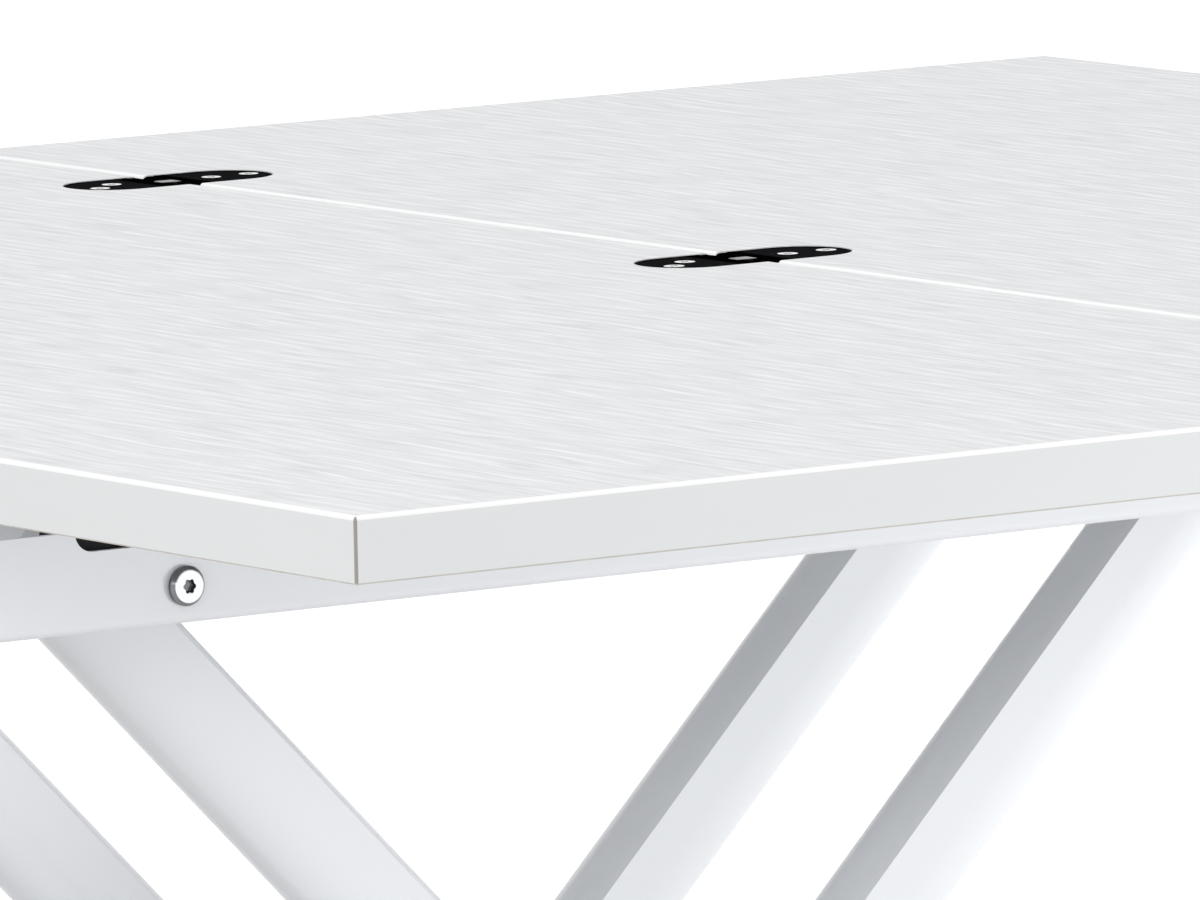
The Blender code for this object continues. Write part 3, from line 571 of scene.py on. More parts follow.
for kind, lean in (("inner", 1), ("outer", -1)):
    for name in SIDES:
        node = f"{name}_{kind}_leg"
        place = Matrix.Translation((CENTRE.x, middle(node).y, CENTRE.z))
        place = place @ Matrix.Rotation(lean * LEG_LEAN, 4, "Y")
        seat(leg_tube(-lean), node + "_tube", kind + "_legs", PAINT, (node,), place, LEG_EDGE)

# Leg bushes: flanged nylon bushes pressed into the legs' pivot eyes, so that steel never turns on steel.
# Only the flange shows, between the leg and the shaft's sleeve.
FLANGE_THICK = 0.0015
FLANGE_EDGE = 0.004
BUSH_EDGE = 0.0002


def nylon():
    """Natural nylon: warm off-white, waxy."""
    wax = Finish("natural_nylon", Subsurface_Weight=0.1, Subsurface_Radius=(0.002, 0.002, 0.0015))
    wax.give(Base_Color=wax.blend(wax.noise(90.0), (0.66, 0.65, 0.61), (0.74, 0.73, 0.69)))
    wax.give(Roughness=0.4 + 0.15 * wax.noise(300.0))
    return wax.material


NYLON = nylon()


def reach_out(node):
    """How far a node's outer and inner ends lie from the middle plane."""
    low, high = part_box(node)
    return max(abs(low.y), abs(high.y)), min(abs(low.y), abs(high.y))


for level, body in (("lower", "inner_legs"), ("upper", "outer_legs")):
    for name, side in zip(SIDES, (-1, 1)):
        node = f"{name}_{level}_bush"
        flange = extent(node).z / 2
        barrel = flange - FLANGE_EDGE
        bore = SHAFT_RADIUS + FIT
        out, back = reach_out(node)
        outline = [(bore, out), (flange, out), (flange, out - FLANGE_THICK),
                   (barrel, out - FLANGE_THICK), (barrel, back), (bore, back)]
        place = Vector((middle(node).x, 0, middle(node).z))
        seat(turned(outline, 48, True), node + "_moulded", body, NYLON, (node,),
             facing(place, (0, side, 0)), BUSH_EDGE)

# Centre bolts: zinc-plated shoulder bolts where each pair of legs crosses, with a collar between the tubes.
# The head is domed round a shallow recess, and a round nut closes the inner end.
BOLT_RADIUS = 0.006
BOLT_HEAD = 0.004
HEAD_SHARE = 11 / 14
RECESS_DEPTH = 0.0016
RECESS_LIP = 0.0001
RECESS_SHARE = 0.42
LIP_SHARE = 0.44
DOME_SHARE = 0.7
DOME_DROP = 0.45
for name, side in zip(SIDES, (-1, 1)):
    node = name + "_centre_bolt"
    out, back = reach_out(node)
    collar = extent(node).z / 2
    head = collar * HEAD_SHARE
    collar_in = abs(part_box(name + "_inner_leg")[side > 0].y) + FIT
    collar_out = abs(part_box(name + "_outer_leg")[side < 0].y) - FIT
    outline = [(head * RECESS_SHARE, out - RECESS_DEPTH), (head * LIP_SHARE, out - RECESS_LIP),
               (head * DOME_SHARE, out), (head, out - BOLT_HEAD * DOME_DROP), (head, out - BOLT_HEAD),
               (BOLT_RADIUS, out - BOLT_HEAD), (BOLT_RADIUS, collar_out), (collar, collar_out),
               (collar, collar_in), (BOLT_RADIUS, collar_in), (BOLT_RADIUS, back + BOLT_HEAD),
               (head, back + BOLT_HEAD), (head, back)]
    seat(turned(outline), node + "_turned", "inner_legs", ZINC, (node,),
         facing((CENTRE.x, 0, CENTRE.z), (0, side, 0)), BOLT_EDGE)

# Leg cross bars: round tubes welded between the legs of each pair, low down, under the same white paint.
# They carry the gas spring's eyes, and a hollow weld bead shows where each end meets its leg.
BEAD = 0.0022
BEAD_STEPS = 4
for kind in ("inner", "outer"):
    node = kind + "_cross_bar"
    low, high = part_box(node)
    radius = (high.z - low.z) / 2
    bead = []
    for step in range(BEAD_STEPS + 1):
        turn = step * math.pi / 2 / BEAD_STEPS
        bead.append((radius + BEAD * (1 - math.sin(turn)), high.y - BEAD * (1 - math.cos(turn))))
    seat(turned(mirrored(bead, [(radius, 0)])), node + "_welded", kind + "_legs", PAINT, (node,),
         on_axis(node))

# Roller axles and rollers: a zinc-plated axle through the free ends of each leg pair, with sleeves that
# space black nylon rollers out to the channels. Each roller has a rounded tread and a sunk ring in its face.
# The tread's profile gives shares of a roller's radius and half width.
AXLE_RADIUS = 0.006
HUB_SHARE = 0.72
HUB_SLOPE = 1.06
FACE_SINK = 0.86
TREAD_PROFILE = ((0.9, FACE_SINK), (0.93, 1), (0.97, 0.94), (1, 0.7))
ROLLER_EDGE = 0.0002
for level, body, kind in (("upper", "inner_legs", "inner"), ("floor", "outer_legs", "outer")):
    node = level + "_roller_axle"
    low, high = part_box(node)
    sleeve = (high.z - low.z) / 2
    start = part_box(f"far_{kind}_leg")[1].y + FIT
    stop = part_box(f"far_{level}_roller")[0].y - FIT
    outline = mirrored([(AXLE_RADIUS, high.y), (AXLE_RADIUS, stop), (sleeve, stop), (sleeve, start),
                        (AXLE_RADIUS, start)])
    seat(turned(outline), node + "_turned", body, ZINC, (node,), on_axis(node), SHAFT_EDGE)
    for name in SIDES:
        wheel = f"{name}_{level}_roller"
        rim = extent(wheel).z / 2
        half = extent(wheel).y / 2
        hub = rim * HUB_SHARE
        face = [(AXLE_RADIUS + FIT, half), (hub, half), (hub * HUB_SLOPE, half * FACE_SINK)]
        outline = mirrored(face + [(rim * across, half * out) for across, out in TREAD_PROFILE])
        place = Vector((middle(node).x, middle(wheel).y, middle(node).z))
        seat(turned(outline, 48, True), wheel + "_moulded", level + "_rollers",
             BLACK_PLASTIC, (wheel,), facing(place, (0, 1, 0)), ROLLER_EDGE)

# Gas spring: a black lacquered cylinder and a chromed rod between the leg cross bars, each with an eye.
# The cylinder's mouth is rolled in round the rod's seal, and a groove is pressed in behind it.
# The profiles give shares of the radius with depths below the mouth, and rises above the eye.
ROD_RADIUS = 0.005
SEAL_DEPTH = 0.002
SEAL_LIP = 0.0012
MOUTH_PROFILE = ((0.75, 0), (0.93, 0.0025), (1, 0.007), (1, 0.016), (0.96, 0.018), (0.96, 0.020), (1, 0.022))
NECK_PROFILE = ((1, 0.012), (0.8, 0.004), (0.55, -0.001))
STEM_PROFILE = ((1, 0.010), (1.5, 0.008), (1.5, -0.001))
ROD_POINT = 0.8
ROD_CHAMFER = 0.001
EYE_HALF = 0.009
EYE_RADIUS = 0.017
EYE_EDGE = 0.0008


def black_lacquer():
    """Black stoving lacquer on steel, a little worn to a dull sheen."""
    lacquer = Finish("black_lacquer", Coat_Weight=0.3, Coat_Roughness=0.2)
    wear = lacquer.noise(140.0, 4.0)
    lacquer.give(Base_Color=lacquer.blend(wear, (0.006, 0.006, 0.007), (0.022, 0.022, 0.024)))
    lacquer.give(Roughness=0.2 + 0.25 * wear)
    lacquer.relief(lacquer.noise(800.0, 1.0), 0.00003, 0.4)
    return lacquer.material


LACQUER = black_lacquer()


def spring_eye(name, body, place):
    """The ring of flat steel at one end of the gas spring, round its cross bar."""
    bar = extent("inner_cross_bar").z / 2 + FIT
    outline = mirrored([(bar, EYE_HALF), (EYE_RADIUS, EYE_HALF)])
    seat(turned(outline, 48, True), name, body, LACQUER, (), facing(place, (0, 1, 0)),
         EYE_EDGE)


barrel = extent("gas_spring_cylinder").y / 2
eye = PIVOT["gas_cylinder_pivot"]
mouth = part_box("gas_spring_cylinder")[1].x - eye.x
outline = [(ROD_RADIUS + FIT, mouth - SEAL_DEPTH), (ROD_RADIUS + SEAL_LIP, mouth)]
outline += [(barrel * share, mouth - depth) for share, depth in MOUTH_PROFILE]
outline += [(barrel * share, EYE_RADIUS + rise) for share, rise in NECK_PROFILE]
seat(turned(outline), "gas_spring_barrel", "gas_cylinder", LACQUER,
     ("gas_spring_cylinder",), facing(eye, (1, 0, 0)))
spring_eye("gas_spring_barrel_eye", "gas_cylinder", eye)
eye = PIVOT["gas_rod_pivot"]
tip = eye.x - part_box("gas_spring_rod")[0].x
outline = [(ROD_RADIUS * ROD_POINT, tip), (ROD_RADIUS, tip - ROD_CHAMFER)]
outline += [(ROD_RADIUS * share, EYE_RADIUS + rise) for share, rise in STEM_PROFILE]
seat(turned(outline), "gas_spring_piston_rod", "gas_rod", CHROME, ("gas_spring_rod",),
     facing(eye, (-1, 0, 0)))
spring_eye("gas_spring_rod_eye", "gas_rod", eye)

# Side rails: two folded steel channels under the top, gloss white, in which the upper rollers run.
# The outer wall stands above the flange, with a long, round-ended cut-out between its raised ends.
EAR_RISE = 0.010
CUT_OUT_DEPTH = 0.008
CUT_OUT_INSET = 0.065
RAIL_EDGE = 0.0003


def upper_rail(size, side):
    """A channel cut from one block: hollow inside, with a ledge behind the wall and a long cut-out."""
    piece = block(size)
    choose(piece, "EDGE", lambda edge: (along(0)(edge)
                                        and edge.verts[0].co.y * side > 0 > edge.verts[0].co.z))
    bpy.ops.mesh.bevel(offset=CHANNEL_CORNER, segments=6, affect="EDGES")
    shifted(piece, (0, 0, 0))
    inside = block((size.x - 2 * CHANNEL_WALL, size.y, size.z - EAR_RISE - 2 * CHANNEL_WALL))
    shifted(inside, (0, -side * CHANNEL_WALL, -EAR_RISE / 2))
    merge(piece, inside, "DIFFERENCE")
    ledge = block((2 * size.x, size.y, 2 * EAR_RISE))
    shifted(ledge, (0, -side * CHANNEL_WALL, size.z / 2))
    merge(piece, ledge, "DIFFERENCE")
    dip = block((size.x - 2 * CUT_OUT_INSET, 4 * CHANNEL_WALL, 2 * CUT_OUT_DEPTH))
    choose(dip, "EDGE", lambda edge: along(1)(edge) and edge.verts[0].co.z < 0)
    bpy.ops.mesh.bevel(offset=CUT_OUT_DEPTH, segments=12, affect="EDGES")
    shifted(dip, (0, side * size.y / 2, size.z / 2))
    return merge(piece, dip, "DIFFERENCE")


for name, side in zip(SIDES, (-1, 1)):
    node = name + "_side_rail"
    seat(upper_rail(extent(node), side), name + "_upper_rail", "upper_frame", PAINT, (node,),
         Matrix.Translation(middle(node)), RAIL_EDGE)

# Rail strips: black plastic strips laid on the rails behind the cut-out, which the cross tubes rest on.
# Their long upper edges are rounded over, so that the tubes' paint isn't scratched.
STRIP_ROUND = 0.3
STRIP_EDGE = 0.0006


def rounded_bar(node, axis, radius, steps, edge):
    """A moulded black bar whose two upper edges along an axis are rounded over."""
    piece = block(extent(node))
    choose(piece, "EDGE", lambda item: along(axis)(item) and item.verts[0].co.z > 0)
    bpy.ops.mesh.bevel(offset=radius, segments=steps, affect="EDGES")
    seat(piece, node + "_moulded", "upper_frame", BLACK_PLASTIC, (node,),
         Matrix.Translation(middle(node)), edge)


for name in SIDES:
    node = name + "_rail_strip"
    rounded_bar(node, 0, extent(node).z * STRIP_ROUND, 5, STRIP_EDGE)

# Cross tubes: three rectangular tubes laid across the rails on the strips, gloss white.
# Each end is closed by a black plug.
TUBE_CORNER = 0.003
TUBES = ("near", "middle", "far")
for place_name in TUBES:
    node = place_name + "_cross_tube"
    piece = tube(extent(node), TUBE_CORNER)
    seat(piece, node + "_rolled", "upper_frame", PAINT, (node,), Matrix.Translation(middle(node)))
    for end_name, way in zip(SIDES, (-1, 1)):
        end_plug(f"{place_name}_{end_name}_tube_plug", "upper_frame", node, way, TUBE_CORNER)

# Glide bars: moulded black bars on the cross tubes that the leaves slide over when the top turns.
# Their backs are rounded along their length, so that only a narrow line touches the board.
GLIDE_ROUND = 0.35
GLIDE_EDGE = 0.0005
for place_name in TUBES:
    node = place_name + "_glide_bar"
    rounded_bar(node, 1, extent(node).x * GLIDE_ROUND, 6, GLIDE_EDGE)

# Swivel: a zinc-plated plate across two cross tubes, a nylon washer on it, and a flanged spindle that is
# let into the near leaf. The top turns on it by a quarter before it is folded open.
PLATE_HOLE = 0.0063
PLATE_CORNER = 0.008
PLATE_EDGE = 0.0004
WASHER_EDGE = 0.0004
SPINDLE_POINT = 0.0012
POINT_SHARE = 0.8
SPINDLE_HEAD = 11 / 6
HEAD_BEVEL = 0.0015
BEVEL_SHARE = 0.8
PIT_DEPTH = 0.002
PIT_RIM = 0.45
PIT_FLOOR = 0.4
spindle_place = PIVOT["top_turn"]
size = extent("swivel_plate")
plate = block(size)
choose(plate, "EDGE", along(2))
bpy.ops.mesh.bevel(offset=PLATE_CORNER, segments=5, affect="EDGES")
shifted(plate, middle("swivel_plate"))
hole = shifted(turned(mirrored([(PLATE_HOLE, size.z)])),
               (spindle_place.x, spindle_place.y, middle("swivel_plate").z))
merge(plate, hole, "DIFFERENCE")
seat(plate, "swivel_plate_pressed", "upper_frame", ZINC, ("swivel_plate",), None, PLATE_EDGE)
low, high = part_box("swivel_washer")
rim = (high.x - low.x) / 2
thick = high.z - low.z
outline = [(PLATE_HOLE, 0), (PLATE_HOLE, thick), (rim - WASHER_EDGE, thick), (rim, thick - WASHER_EDGE),
           (rim, WASHER_EDGE), (rim - WASHER_EDGE, 0)]
seat(turned(outline, 64, True), "swivel_washer_moulded", "upper_frame", NYLON, ("swivel_washer",),
     Matrix.Translation((spindle_place.x, spindle_place.y, low.z)))
low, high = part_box("swivel_spindle")
rim = (high.x - low.x) / 2
disc_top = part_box("near_leaf")[0].z - FIT
disc_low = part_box("swivel_washer")[1].z + FIT
head_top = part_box("swivel_plate")[0].z - FIT
stem = PLATE_HOLE - FIT
head = stem * SPINDLE_HEAD
outline = [(stem * POINT_SHARE, high.z), (stem, high.z - SPINDLE_POINT), (stem, disc_top),
           (rim - FIT, disc_top), (rim, disc_top - FIT), (rim, disc_low), (stem, disc_low),
           (stem, head_top), (head, head_top), (head, low.z + HEAD_BEVEL), (head * BEVEL_SHARE, low.z),
           (head * PIT_RIM, low.z), (head * PIT_FLOOR, low.z + PIT_DEPTH)]
seat(turned(outline, 64), "swivel_spindle_turned", "near_top", ZINC, ("swivel_spindle",),
     Matrix.Translation((spindle_place.x, spindle_place.y, 0)))

# Leaves: two 25 mm boards faced with a pale wood-grain decor whose raised white lines run along the seam.
# Pockets for the fold hinges are milled into the seam side, and the near leaf is bored for the spindle.
HEIGHT = cad_box[1][2]
WING_THICK = 0.0025
POCKET_DEPTH = 0.0085
POCKET_REACH = 0.0106
POCKET_CLEAR = 0.010
ROUND_SPARE = 0.0001
BORE_HALF = 0.013
TOPS = (("near", "near_top", -1), ("far", "far_top", 1))
HINGES = (1, 2, 3)


def wood_decor():
    """Pale grey-white decor: wavy white grain lines along Y, denser and sparser by turns, embossed."""
    decor = Finish("pale_wood_decor", Specular_IOR_Level=0.35)
    across = decor.place(0)
    length = decor.place(1)

    def field(width, run, seed, detail=0.0):
        point = {0: across * (1 / width), 1: length * (1 / run), 2: seed}
        inputs = {"Vector": decor.add("ShaderNodeCombineXYZ", None, point), "Scale": 1.0,
                  "Detail": detail, "Roughness": 0.5}
        return decor.add("ShaderNodeTexNoise", None, inputs)

    def between(value, low, high):
        inputs = {"Value": value, "From Min": low, "From Max": high}
        return decor.add("ShaderNodeMapRange", None, inputs)

    wander = (field(0.10, 0.22, 11.0, 1.0) - 0.5) * 0.022 + (field(0.016, 0.045, 17.0) - 0.5) * 0.0055
    across = across + wander

    def lines(spacing, seed):
        phase = across * (2 * math.pi / spacing) + seed
        return between(decor.add("ShaderNodeMath", {"operation": "SINE"}, {0: phase}), 0.1, 0.9)

    broken = between(field(0.009, 0.050, 5.0, 1.0), 0.40, 0.58)
    second = between(field(0.006, 0.036, 29.0, 1.0), 0.44, 0.60)
    hair = between(field(0.0018, 0.026, 23.0), 0.45, 0.80)
    dark = between(field(0.0034, 0.045, 31.0), 0.48, 0.72)
    broad = field(0.05, 0.3, 3.0, 2.0)
    streak = lines(0.0088, 0.0) * broken * 0.60 + lines(0.0054, 1.3) * second * 0.42 + hair * 0.25
    ground = decor.blend(broad, (0.735, 0.75, 0.765), (0.785, 0.795, 0.805))
    shaded = decor.blend(dark * 0.6, ground, (0.65, 0.665, 0.68))
    decor.give(Base_Color=decor.blend(streak, shaded, (0.905, 0.91, 0.915)))
    decor.give(Roughness=0.55 - 0.1 * streak)
    decor.relief(streak, 0.00015, 0.3)
    return decor.material


DECOR = wood_decor()


def rounded_end(size, side):
    """A flat block whose two upright edges away from the seam are brought round to a half circle."""
    piece = block(size)
    choose(piece, "EDGE", lambda edge: along(2)(edge) and edge.verts[0].co.x * side > 0)
    bpy.ops.mesh.bevel(offset=size[1] / 2 - ROUND_SPARE, segments=12, affect="EDGES")
    return piece


def hinge_pocket(node, side):
    """The shape milled out for a wing: a shallow round-ended bed, and a deeper bed at the knuckles."""
    low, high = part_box(node)
    reach = max(abs(low.x), abs(high.x)) + FIT
    width = high.y - low.y + 2 * FIT
    y = (low.y + high.y) / 2
    floor = HEIGHT - WING_THICK - 2 * FIT
    bed = rounded_end((reach, width, POCKET_CLEAR), side)
    shifted(bed, (side * reach / 2, y, floor + POCKET_CLEAR / 2))
    tall = POCKET_CLEAR + POCKET_DEPTH
    deep = block((POCKET_REACH, width, tall))
    shifted(deep, (side * POCKET_REACH / 2, y, HEIGHT - POCKET_DEPTH + tall / 2))
    return merge(bed, deep, "UNION")


for name, body, side in TOPS:
    node = name + "_leaf"
    piece = shifted(block(extent(node)), middle(node))
    for number in HINGES:
        merge(piece, hinge_pocket(f"{name}_hinge_wing_{number}", side), "DIFFERENCE")
    if side < 0:
        bore = shifted(turned(mirrored([(stem + FIT, BORE_HALF)])), spindle_place)
        merge(piece, bore, "DIFFERENCE")
    seat(piece, name + "_board", body, DECOR, (node,))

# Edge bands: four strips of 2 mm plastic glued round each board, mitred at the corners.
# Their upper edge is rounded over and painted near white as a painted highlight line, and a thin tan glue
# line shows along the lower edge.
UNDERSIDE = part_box("near_leaf")[0].z
CORNER = cad_box[1][0]
BAND_ROUND = 0.0017
MITRE_LINE = 0.0010
GLUE_LINE = 0.0005


def edge_plastic():
    """Smooth cool-white edging: painted near white along its upper edge as a painted highlight, tan at the
    glue line.
    """
    edging = Finish("edge_plastic", Coat_Weight=0.05)
    height = edging.place(2)
    mitre = (abs(edging.place(0)) > CORNER - MITRE_LINE) * (abs(edging.place(1)) > CORNER - MITRE_LINE)
    drift = edging.noise((14.0, 14.0, 60.0), 2.0)
    plain = edging.blend(drift, (0.775, 0.795, 0.80), (0.80, 0.815, 0.82))
    # The top of the band is painted near white: a painted highlight where the rounded edge catches the
    # light.
    with_painted_highlight = edging.blend(height > HEIGHT - BAND_ROUND, plain, (0.97, 0.972, 0.975))
    glue = edging.blend(edging.noise((120.0, 120.0, 5.0)), (0.44, 0.41, 0.37), (0.64, 0.61, 0.57))
    jointed = edging.blend(mitre, with_painted_highlight, (0.34, 0.32, 0.29))
    edging.give(Base_Color=edging.blend(height < UNDERSIDE + GLUE_LINE, jointed, glue))
    edging.give(Roughness=0.34 + 0.1 * edging.noise(260.0, 1.0))
    edging.relief(edging.noise((60.0, 60.0, 900.0), 1.0), 0.00003, 0.3)
    return edging.material


EDGING = edge_plastic()


def band_strip(length, thick, tall):
    """One strip along X with its outer face to -Y: mitred ends and a rounded upper outer edge."""
    piece = block((length, thick, tall))
    choose(piece, "VERT", lambda vert: vert.co.y > 0)
    share = (length / 2 - thick) / (length / 2)
    bpy.ops.transform.resize(value=(share, 1, 1), center_override=(0, 0, 0))
    choose(piece, "EDGE", lambda edge: (along(0)(edge)
                                        and edge.verts[0].co.z > 0 > edge.verts[0].co.y))
    bpy.ops.mesh.bevel(offset=BAND_ROUND, segments=4, affect="EDGES")
    return piece


for name, body, side in TOPS:
    node = name + "_edge_band"
    low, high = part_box(node)
    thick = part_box(name + "_leaf")[0].y - low.y - FIT
    size = high - low
    for edge_name, turn, length, out in (("right", 0, size.x, size.y), ("left", 180, size.x, size.y),
                                         ("outer", 90 * side, size.y, size.x),
                                         ("seam", -90 * side, size.y, size.x)):
        strip = band_strip(length, thick, size.z)
        place = Matrix.Translation(middle(node)) @ Matrix.Rotation(math.radians(turn), 4, "Z")
        shifted(strip, place @ Matrix.Translation((0, thick / 2 - out / 2, 0)))
        if edge_name == "seam":
            for number in HINGES:
                merge(strip, hinge_pocket(f"{name}_hinge_wing_{number}", side), "DIFFERENCE")
        seat(strip, f"{name}_{edge_name}_band", body, EDGING, (node,))

# Fold hinges: black phosphated wings let in flush, each held by two bright countersunk screws.
# Each wing has two knuckles, and a lacquered link on two pins joins it to the other wing,
# so that the leaf folds flat. Screw places are distances from the seam and along it.
WING_START = 0.0071
WING_RIM = 0.0014
WING_SINK = 0.0004
WING_EDGE = 0.00025
KNUCKLE = 0.003
KNUCKLE_SPARE = 0.00005
LINK_WIDTH = 0.008
LINK_EDGE = 0.0003
PIN_RADIUS = 0.0013
PIN_POINT = 0.7
PIN_CHAMFER = 0.0004
PIN_Z = PIVOT["near_fold"].z
PIN_X = abs(PIVOT["near_fold"].x)
SCREW_PLACES = {"near": ((0.026, 0.005), (0.0385, -0.005)), "far": ((0.0225, 0.0), (0.042, 0.0))}
SCREW_HEAD = 0.0043
SCREW_TOP = 0.0002
SCREW_RIM = 0.0004
SCREW_DEPTH = 0.0022
SCREW_PROUD = 0.0001
CROSS_SLOT = 0.0009
CROSS_REACH = 1.1
CROSS_TALL = 0.0016
CROSS_TURN = 0.4


def hinge_black():
    """Black phosphated steel: dull, rubbed grey in spots, and painted near black round the knuckles as
    painted shade of the seam gap.
    """
    black = Finish("hinge_black", Specular_IOR_Level=0.0)
    patches = {"stops": [(0.62, 0.0), (0.72, 1.0)]}
    rubbed = black.add("ShaderNodeValToRGB", patches, {0: black.noise(420.0, 3.0)})
    plate = black.blend(rubbed, (0.010, 0.010, 0.011), (0.024, 0.024, 0.026))
    # Near the seam, round the knuckles, the steel is painted near black: painted shade of the seam gap.
    past_painted_shade = abs(black.place(0)) > WING_START + 2 * KNUCKLE
    black.give(Base_Color=black.blend(past_painted_shade, (0.001, 0.001, 0.001), plate))
    black.give(Roughness=0.62 - 0.2 * rubbed)
    black.relief(black.noise(900.0, 1.0), 0.00004, 0.4)
    return black.material


HINGE_BLACK = hinge_black()


def hinge_wing(low, high, side):
    """A wing's plate with a sunk middle and a round end, and its two knuckles."""
    length = max(abs(low.x), abs(high.x)) - WING_START
    width = high.y - low.y
    y = (low.y + high.y) / 2
    plate = rounded_end((length, width, WING_THICK), side)
    choose(plate, "FACE", lambda face: face.normal.z > STRAIGHT)
    bpy.ops.mesh.inset(thickness=WING_RIM)
    bpy.ops.mesh.extrude_region_move(TRANSFORM_OT_translate={"value": (0, 0, -WING_SINK)})
    shifted(plate, (side * (WING_START + length / 2), y, high.z - WING_THICK / 2))
    ear_width = width / 2 - LINK_WIDTH / 2 - FIT
    for way in (-1, 1):
        ear = block((3 * KNUCKLE, ear_width, 2 * KNUCKLE))
        choose(ear, "EDGE", lambda edge: along(1)(edge) and edge.verts[0].co.x * side < 0)
        bpy.ops.mesh.bevel(offset=KNUCKLE - KNUCKLE_SPARE, segments=8, affect="EDGES")
        shifted(ear, (side * (PIN_X + KNUCKLE / 2), y + way * (width / 2 - ear_width / 2), PIN_Z))
        merge(plate, ear, "UNION")
    return plate


def hinge_screw(place):
    """A countersunk screw head with a crossed recess."""
    outline = [(SCREW_HEAD, -SCREW_TOP), (SCREW_HEAD, -SCREW_RIM), (SCREW_HEAD / 2, -SCREW_DEPTH)]
    head = shifted(turned(outline, 32), (0, 0, 0))
    for turn in (CROSS_TURN, CROSS_TURN + math.pi / 2):
        slot = block((SCREW_HEAD * CROSS_REACH, CROSS_SLOT, CROSS_TALL))
        shifted(slot, Matrix.Rotation(turn, 4, "Z"))
        merge(head, slot, "DIFFERENCE")
    head.data.transform(Matrix.Translation(place))
    return head


for number in HINGES:
    for name, body, side in TOPS:
        node = f"{name}_hinge_wing_{number}"
        low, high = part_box(node)
        seat(hinge_wing(low, high, side), node + "_pressed", body, HINGE_BLACK, (node,),
             None, WING_EDGE)
        for order, (reach, aside) in enumerate(SCREW_PLACES[name], 1):
            place = (side * reach, middle(node).y + aside, high.z + SCREW_PROUD)
            seat(hinge_screw(place), f"{node}_screw_{order}", body, CHROME)
    node = f"hinge_link_{number}"
    y = middle(node).y
    bar = block((2 * PIN_X + 2 * KNUCKLE, LINK_WIDTH, 2 * KNUCKLE))
    choose(bar, "EDGE", along(1))
    bpy.ops.mesh.bevel(offset=KNUCKLE - KNUCKLE_SPARE, segments=8, affect="EDGES")
    seat(bar, node + "_pressed", "hinge_links", LACQUER, (node,),
         Matrix.Translation((0, y, PIN_Z)), LINK_EDGE)
    half = extent(node).y / 2
    outline = mirrored([(PIN_RADIUS * PIN_POINT, half), (PIN_RADIUS, half - PIN_CHAMFER)])
    for name, side in zip(SIDES, (-1, 1)):
        seat(turned(outline, 24), f"{node}_{name}_pin", "hinge_links", ZINC, (),
             facing((side * PIN_X, y, PIN_Z), (0, 1, 0)))

# Studio: a wide pale floor, soft light from all round, one broad lamp and a low one for the legs,
# and the camera of the photograph. The floor and the sky are white to the camera and in reflections,
# and the floor still takes the table's shadow.
FLOOR_SIZE = 60.0
FLOOR_GLOW = 0.68
SKY_LIGHT = 0.90


def seen(finish):
    """1 to the camera, in reflections and through clear things, and 0 to all other rays."""
    camera_ray, glossy_ray, clear_ray = (finish.add("ShaderNodeLightPath", output=f"Is {kind} Ray")
                                         for kind in ("Camera", "Glossy", "Transmission"))
    return camera_ray + glossy_ray + clear_ray


bpy.ops.object.select_all(action="DESELECT")
bpy.ops.mesh.primitive_plane_add(size=FLOOR_SIZE, location=(0, 0, 0))
floor = bpy.context.object
floor.name = "studio_floor"
floor_paint = Finish("studio_floor", Base_Color=(0.50, 0.50, 0.50), Roughness=0.9)
glow = {"Color": (1, 1, 1), "Strength": seen(floor_paint) * FLOOR_GLOW}
glow = floor_paint.add("ShaderNodeEmission", None, glow)
paint = Wire(floor_paint, floor_paint.shader.outputs[0])
both = floor_paint.add("ShaderNodeAddShader", None, {0: paint, 1: glow})
floor_paint.feed(floor_paint.tree.nodes["Material Output"].inputs["Surface"], both)
floor.data.materials.append(floor_paint.material)

sky = Finish("studio_sky", bpy.data.worlds.new("studio_sky"), "Background", Color=(1, 1, 1))
level = {"Value": seen(sky), "To Min": SKY_LIGHT, "To Max": 1.0}
sky.give(Strength=sky.add("ShaderNodeMapRange", None, level))
bpy.context.scene.world = sky.material

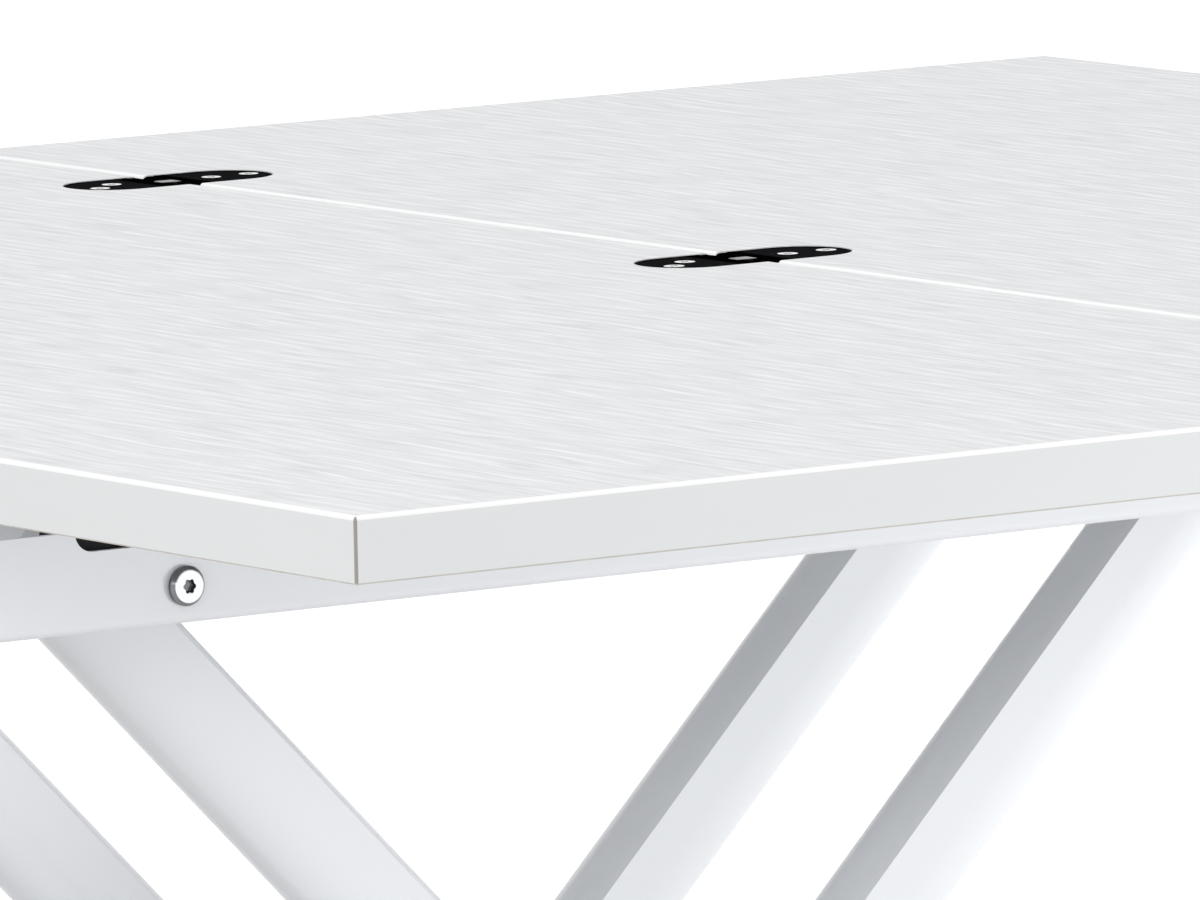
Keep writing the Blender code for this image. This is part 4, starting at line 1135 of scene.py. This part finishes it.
# Each lamp has a name, place, aim, size, power in watts, spread in degrees, and whether reflections show it.
LAMPS = (("broad_lamp", (-4.2, -3.1, 2.7), (0, 0, 0.6), (2.6, 2.6), 72.0, 180.0, True),
         ("leg_lamp", (1.7, -1.7, 0.06), (-0.02, 0, 0.68), (1.1, 0.1), 1.4, 30.0, False))
for lamp_name, lamp_place, lamp_aim, lamp_size, lamp_power, lamp_spread, reflected in LAMPS:
    lamp_data = bpy.data.lights.new(lamp_name, "AREA")
    lamp_data.energy = lamp_power
    lamp_data.shape = "RECTANGLE"
    lamp_data.size, lamp_data.size_y = lamp_size
    lamp_data.spread = math.radians(lamp_spread)
    lamp = bpy.data.objects.new(lamp_name, lamp_data)
    bpy.context.scene.collection.objects.link(lamp)
    lamp.location = lamp_place
    lamp.visible_glossy = reflected
    aim = Vector(lamp_aim) - Vector(lamp_place)
    lamp.rotation_euler = aim.to_track_quat("-Z", "Y").to_euler()

CAMERA_AIM = Vector((-0.4221, -0.4999, 0.740))
CAMERA_DISTANCE = 5.911
CAMERA_YAW = math.radians(55.14)
CAMERA_PITCH = math.radians(6.92)
CAMERA_ROLL = math.radians(1.135)
CAMERA_LENS = 477.4
CAMERA_SENSOR = 36.0
CAMERA_REACH = 200.0
level_look = Vector((math.cos(CAMERA_YAW), math.sin(CAMERA_YAW), 0))
forward = level_look * math.cos(CAMERA_PITCH) - Vector((0, 0, math.sin(CAMERA_PITCH)))
camera_data = bpy.data.cameras.new("photo_camera")
camera_data.lens = CAMERA_LENS
camera_data.sensor_width = CAMERA_SENSOR
camera_data.clip_end = CAMERA_REACH
camera = bpy.data.objects.new("photo_camera", camera_data)
bpy.context.scene.collection.objects.link(camera)
camera.matrix_world = (Matrix.Translation(CAMERA_AIM - forward * CAMERA_DISTANCE)
                       @ forward.to_track_quat("-Z", "Y").to_matrix().to_4x4()
                       @ Matrix.Rotation(-CAMERA_ROLL, 4, "Z"))
bpy.context.scene.camera = camera
bpy.context.scene.view_settings.view_transform = "Standard"
